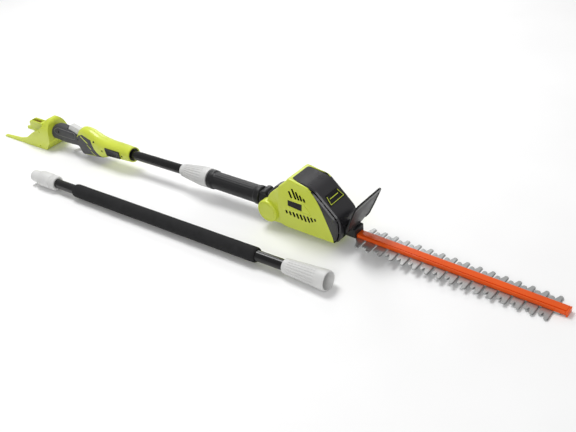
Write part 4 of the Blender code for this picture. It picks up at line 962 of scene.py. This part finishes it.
def ear_and_web(sign):
    """One round ear on the pivot, with a ring groove in its face, and the web that carries it."""
    ear = rod("ear", 28.0, *sideways(sign, 22.4, 44.0), PIVOT, steps=96)
    bevelled(ear, 3.0, 4)
    groove = rod("cap_groove_outer", 22.5, *sideways(sign, 43.2, 45.0), PIVOT, steps=96)
    cut(groove, rod("cap_groove_inner", 21.2, *sideways(sign, 43.0, 46.0), PIVOT, steps=96))
    cut(ear, groove)
    web = slab("web", softened(EAR_WEB, 5.0), *sideways(sign, 23.0, 38.0))
    return ear, bevelled(web, 4.0, 4)


WINDOW_OUTLINE = [(-13, -27), (-13, 27), (13, 21), (13, -21)]


def build_cover():
    """The black cover over the head's top, slope and nose."""
    cover = head_body("drive_cover")
    bevelled(cover, 11.0, 1)
    black_points = shifted(softened(HEAD_BORDER[::-1] + [(60, -90), (60, 130)], 6.0), 0.2)
    black_region = slab("black_region", black_points, -60, 60)
    join(black_region, top_panel("top_region", 0.2, 120.0))
    keep(cover, black_region)
    cut(cover, head_hollow())
    cut(cover, block("mouth", (-80, -20.0, -40), (-20, 20.0, -5)))
    cut(cover, slab("window_seat", inset(WINDOW_OUTLINE, -0.3), -1.2, 20.0, PLAN, WINDOW))
    finish_piece(cover, "head", "black_plastic", COVER, "motor_cover", angle=40.0)


def build_head_shells():
    """The two lime halves, with their ears, cooling slots, chevron line and plate."""
    lime = head_body("head_lime")
    bevelled(lime, 4.5, 4)
    lime_points = shifted(softened(HEAD_BORDER + [(-330, 130), (-330, -90)], 6.0), -0.2)
    keep(lime, slab("lime_region", lime_points, -60, 60))
    cut(lime, head_hollow())
    cut(lime, top_panel("top_seat", -0.2, 130.0))
    for sign in SIGNS:
        join(lime, *ear_and_web(sign))
    cut(lime, rod("pin_eye", PIVOT_EYE, -40.3, 40.3, PIVOT, steps=32))
    cut(lime, slab("plate_seat", inset(HEAD_PLATE, -0.3), -60.0, -37.8))
    vents = [vent(*place) for place in UPPER_VENTS]
    x, z = LOWER_VENT_START
    vents += [vent(x + LOWER_VENT_STEP * index, z, length) for index, length in enumerate(LOWER_VENT_LENGTHS)]
    cut(lime, *vents)
    for sign in SIGNS:
        cut(lime, slab("chevron", softened(CHEVRON, 1.0, 2), *sideways(sign, 38.4, 45.0)))
    for side in SIDES:
        shell = new_object("head_shell_" + side, lime.data.copy())
        keep(shell, half_space(side))
        finish_piece(shell, "head", "lime_plastic", LIME, "head_" + side, angle=40.0)
        # Painted shade on the faces inside the head's hollow and its slots.
        paint_hollow_shade(shell)
    remove(lime)
    plate = slab("head_maker_plate", softened(HEAD_PLATE, 1.2), -HEAD_HALF_WIDTH, -38.1)
    cut(plate, slab("plate_recess", softened(inset(HEAD_PLATE, 1.6), 1.0), -40.0, -38.75))
    finish_piece(plate, "head", "black_plastic", GLOSS_BLACK, "head_name_plate")


def build_window():
    """A trapezoid surround with a lime line on three sides and a slit inside."""
    surround = slab("window_surround", softened(WINDOW_OUTLINE, 2.0), -0.9, 1.2, PLAN, WINDOW)
    cut(surround, slab("window_pit", softened(inset(WINDOW_OUTLINE, 5.0), 2.0), -0.1, 5.0, PLAN, WINDOW))
    bevelled(surround, 0.4, 2)
    finish_piece(surround, "head", "grey_plastic", GLOSS_BLACK, "window_frame")
    line = slab("window_line", softened(inset(WINDOW_OUTLINE, 2.0), 1.5), 1.0, 1.5, PLAN, WINDOW)
    cut(line, slab("line_core", softened(inset(WINDOW_OUTLINE, 3.3), 1.5), 0.5, 3.0, PLAN, WINDOW))
    cut(line, slab("line_open", [(9, -40), (9, 40), (40, 40), (40, -40)], 0.5, 3.0, PLAN, WINDOW))
    finish_piece(line, "head", "lime_plastic", LIME_INLAY)
    slit = softened(rectangle(0.4, 2.2, -15, 15), 0.8, 3)
    strip = slab("window_slit", slit, -0.2, 0.6, PLAN, WINDOW)
    finish_piece(strip, "head", "lime_plastic", LIME_INLAY)


GUARD_OUTLINE = [
    (-17, 0), (17, 0), (24, 6), (45, 8), (49, 40), (51, 84), (48, 90), (40, 93.5), (-40, 93.5), (-48, 90),
    (-51, 84), (-49, 40), (-45, 8), (-24, 6),
]
GUARD_OPENING = [
    (-22, 9), (22, 9), (41.5, 12), (45, 40), (46.5, 78), (43, 82), (-43, 82), (-46.5, 78), (-45, 40),
    (-41.5, 12),
]


def build_guard():
    """The upright shield: a ribbed plate and the rim round it."""
    outline = softened(GUARD_OUTLINE, 5.0)
    plate = slab("guard_plate", outline, -1.5, 1.0, FRONT, GUARD)
    for y in (-30.0, -15.0, 0.0, 15.0, 30.0):
        join(plate, slab("guard_rib", rectangle(y - 0.7, y + 0.7, 14, 78), -2.6, -1.0, FRONT, GUARD))
    bevelled(plate, 0.4, 2)
    finish_piece(plate, "head", "black_plastic", GUARD_FACE, "guard")
    rim = slab("guard_rim", outline, -1.8, 2.2, FRONT, GUARD)
    cut(rim, slab("rim_opening", softened(GUARD_OPENING, 5.0), -5.0, 5.0, FRONT, GUARD))
    cut(rim, slab("rim_foot", rectangle(-30, 30, -5, 12), -5.0, 5.0, FRONT, GUARD))
    bevelled(rim, 0.8)
    finish_piece(rim, "head", "black_plastic", GLOSS_BLACK)


# ---- blades and support bar

TOOTH_PITCH = 28.97
TOOTH_COUNT = 16
SHORT_TOOTH_LEAD = 14.6
LONG_TOOTH = [(-9.5, 23), (-5.0, 34), (-3.6, 39.7), (2.6, 39.7), (3.9, 37.5), (3.6, 10)]
SHORT_TOOTH = [(-5.0, 10), (-4.6, 29.5), (-3.0, 31.7), (3.2, 31.7)]
GUIDE_PINS = [45.0 + 95.0 * index for index in range(5)]
BAR_HALF_WIDTH = 10.7
BAR_TOP = 12.4


def build_blade(name, node, body, base, shift):
    """A toothed plate with rounded tips and ground edges, with slots for the drive and the guide pins."""
    side = [(-132.0, 16.0), (-62.0, 16.0), (-56.0, 10.0)]
    for index in range(TOOTH_COUNT):
        tip = TOOTH_PITCH * index
        if index:
            side += shifted(SHORT_TOOTH, tip - SHORT_TOOTH_LEAD)
        else:
            side.append((SHORT_TOOTH[0][0] - SHORT_TOOTH_LEAD, 10.0))
        side += shifted(LONG_TOOTH, tip)
    side.append((452.0, 10.0))
    outline = softened(shifted(both_sides(side), shift), 2.2, 3)
    blade = slab(name, outline, base, base + 1.6, PLAN, BLADE)
    bevelled(blade, 0.45, 1, 60.0)
    window = rectangle(-128, -84, -12.6, 12.6)
    cut(blade, slab("yoke", softened(window, 6.0), -30, 30, PLAN, BLADE))
    for pin in GUIDE_PINS:
        slot = rectangle(pin - 12.7, pin + 12.7, -3.1, 3.1)
        cut(blade, slab("slot", softened(slot, 3.0), -30, 30, PLAN, BLADE))
    finish_piece(blade, body, "blade_steel", BLADE_STEEL, node, angle=25.0)


def across_bar(name, start, end, low):
    return slab(name, rectangle(start, end, -BAR_HALF_WIDTH, BAR_HALF_WIDTH), low, BAR_TOP, PLAN, BLADE)


def build_bar():
    """The orange bar with its two grooves, its tip, and the black root block."""
    bar = across_bar("guide_bar", -56, 463, 3.0)
    bevelled(bar, 1.4)
    groove = [(-9.0, 15), (-8.7, 9.8), (-6.3, 9.8), (-6.0, 15)]
    cut(bar, slab("groove", groove, -7.0, 470.0, FRONT, BLADE))
    side_groove = [(-12, 6.4), (-10.3, 6.4), (-10.1, 6.8), (-10.1, 7.4), (-10.3, 7.8), (-12, 7.8)]
    cut(bar, slab("side_groove", side_groove, -7.0, 470.0, FRONT, BLADE))
    for pin in GUIDE_PINS:
        cut(bar, rod("pin_bore", 2.8, -5.0, 10.3, (pin, 0, 0), "Z", BLADE, 32))
    finish_piece(bar, "head", "orange_bar", ORANGE, "support_bar")
    tip = across_bar("bar_end", 463.3, 467, 0.0)
    bevelled(tip, 0.8)
    finish_piece(tip, "head", "orange_bar", ORANGE, "bar_tip")
    root = slab("root_block", rectangle(-52, -15, -17, 17), 3.3, 27.0, PLAN, BLADE)
    bevelled(root, 3.0, 4)
    cut(root, slab("channel", rectangle(-11, 11, -9, 12.7), -60.0, -5.0, FRONT, BLADE))
    for x, y in ((-44.0, 11.5), (-44.0, -11.5), (-24.0, 11.5), (-24.0, -11.5)):
        cut(root, rod("bolt_seat", 3.4, 25.2, 30.0, (x, y, 0), "Z", BLADE, 32))
    finish_piece(root, "head", "black_plastic", BLACK, "blade_root_block")


# ---- extension pole

POLE_RING = [(-899.7, 19.0), (-897, 20.2), (-884, 20.2), (-880, 17)]
POLE_COUPLER = [(-981, 14.5), (-979, 16), (-951, 16), (-949, 19), (-946, 21), (-910, 21), (-900, 19.5)]
FOAM_PROFILE = [
    (-802, 13.6), (-802, 15.2), (-799.5, 17.3), (-796, 17.97), (-182, 17.97), (-178.5, 17.3), (-176, 15.2),
    (-176, 13.6),
]
BELL_PROFILE = [
    (-97, 16.0), (-95.5, 17.3), (-60, 19.2), (-20, 21.4), (-2, 22.7), (4, 23.0), (16, 23.0), (18, 22.0),
]
BELL_BORE = [(-97, 13.1), (-60, 13.1), (-58, 15.5), (17, 19.4), (18, 20.4)]


COUPLER_RINGS = (-944.0, -911.0)


def foam_relief(along, angle):
    """The slight waviness of foam pushed on to a tube."""
    slow = math.sin(along * 0.043 + 1.7 * math.sin(angle))
    quick = 0.6 * math.sin(along * 0.117 + 2.0 * angle)
    return 0.09 * (1.6 + (slow + quick))


def coupler_relief(along, angle):
    """Rings round the coupler's wide part."""
    start, end = COUPLER_RINGS
    if start < along < end:
        return 1.1 * max(0.0, math.sin((along - start) * math.tau / 4.7)) ** 2
    return 0.0


def build_pole():
    """The loose pole: tube, foam grip, coupler with its button, ribbed ring, fluted bell and inner socket."""
    finish_piece(tube("extension_tube", -975, -86, POLE), "pole", "black_tube", TUBE, "pole_tube")
    outer = filled_profile(rounded_profile(FOAM_PROFILE, 2.5, 4), 5.0)
    foam = lathe("foam_grip", outer, straight_bore(13.0, -802, -176), POLE, 96, foam_relief)
    finish_piece(foam, "pole", "foam", FOAM, "pole_foam", angle=60.0)
    coupler = fitting("pole_coupling", POLE_COUPLER, 2.0, 0.8, POLE, 96, coupler_relief)
    button = rod("detent_button", 3.2, 19.0, 20.9, (-927, 0, 0), "Z", POLE, 32)
    bevelled(button, 0.5)
    join(coupler, button)
    finish_white(coupler, "pole", "pole_coupler")
    ribs = fluted(-898, -882, 32, 0.8, 2.0, 0.6)
    ring = fitting("pole_lock_ring", POLE_RING, 1.0, 1.5, POLE, 192, ribs)
    finish_white(ring, "pole", "pole_ring")
    flutes = fluted(-88, -4, 20, 1.3, 5.0, 0.4)
    bell = fitting("pole_bell_nut", BELL_PROFILE, 3.0, 3.0, POLE, 240, flutes, BELL_BORE)
    finish_white(bell, "bell", "pole_bell")
    outer, bore = straight_bore(12.4, -85.7, -58), straight_bore(8.5, -85.7, -58)
    socket = lathe("pole_inner_socket", outer, bore, POLE, 64)
    finish_piece(socket, "pole", "black_plastic", BLACK, "pole_socket")


# ---- pieces kept from the CAD model

STEEL_NODES = [
    "trigger_pin", "trigger_spring", "pivot_pin", "tilt_lever_pin", "motor_body", "motor_pinion", "crank_gear",
    "gearbox_plate", *("guide_pin_%d" % number for number in range(1, 6)),
]


def dress_cad():
    """Give the small pieces that stay as the CAD made them their materials."""
    dressed = dict.fromkeys(STEEL_NODES, STEEL)
    dressed.update({"tube_plug": GREY, "wiring_lead": COPPER, "switch_body": BLACK})
    for name, material in dressed.items():
        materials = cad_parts[name].data.materials
        materials.clear()
        materials.append(material)


# ---- floor, light and camera


def build_studio():
    floor = Nodes("studio_floor")
    tone = floor.share(floor.noise(3.0, 2.0))
    floor.colour(floor.mixed(tone, (0.90, 0.90, 0.90), (0.93, 0.93, 0.93)))
    floor.roughness(floor.ramp(floor.noise(20.0, 3.0), 0.70, 0.80))
    shape = bmesh.new()
    corners = [shape.verts.new((x, y, -0.0002)) for x, y in rectangle(-9, 9, -9, 9)]
    shape.faces.new(corners)
    mesh = bpy.data.meshes.new("studio_floor")
    shape.to_mesh(mesh)
    shape.free()
    ground = new_object("studio_floor", mesh)
    mesh.materials.append(floor.material)
    world = bpy.data.worlds.new("studio")
    world.use_nodes = True
    background = world.node_tree.nodes["Background"]
    background.inputs["Color"].default_value = (1.0, 1.0, 1.0, 1.0)
    background.inputs["Strength"].default_value = 0.48
    bpy.context.scene.world = world
    bpy.context.scene.view_settings.view_transform = "Standard"
    aim = Vector((0.0, 0.0, 0.05))
    lights = (
        ("key", (-0.9, 0.5, 2.6), 1.3, 50.0),
        ("front", (1.6, -2.6, 1.5), 1.4, 24.0),
        ("rim", (-1.6, 2.2, 1.6), 1.2, 16.0),
    )
    for name, place, size, power in lights:
        data = bpy.data.lights.new(name, "AREA")
        data.shape = "DISK"
        data.size = size
        data.energy = power
        light = new_object(name, data)
        light.location = place
        light.rotation_euler = (aim - light.location).to_track_quat("-Z", "Y").to_euler()


def build_camera():
    yaw, pitch, roll = 0.7563083, 0.5637622, -0.1584311
    back = Vector((math.sin(yaw) * math.cos(pitch), -math.cos(yaw) * math.cos(pitch), math.sin(pitch)))
    level = Vector((math.cos(yaw), math.sin(yaw), 0.0))
    above = back.cross(level)
    right = level * math.cos(roll) + above * math.sin(roll)
    up = above * math.cos(roll) - level * math.sin(roll)
    local = Matrix((right, up, back)).transposed().to_4x4()
    local.translation = Vector((0.9314692, -1.2228646, 1.0208942))
    data = bpy.data.cameras.new("camera")
    data.lens = 52.465
    data.sensor_width = 36.0
    camera = new_object("camera", data)
    camera.matrix_world = TOOL @ local
    bpy.context.scene.camera = camera


build_dock()
build_terminals()
build_handle()
build_side_lines()
build_screws()
build_controls()
build_shaft()
build_pivot()
build_cover()
build_head_shells()
build_window()
build_guard()
build_blade("top_blade", "upper_blade", "blade_upper", 1.1, 0.0)
build_blade("bottom_blade", "lower_blade", "blade_lower", -0.8, 1.2)
build_bar()
build_pole()
dress_cad()
build_studio()
build_camera()
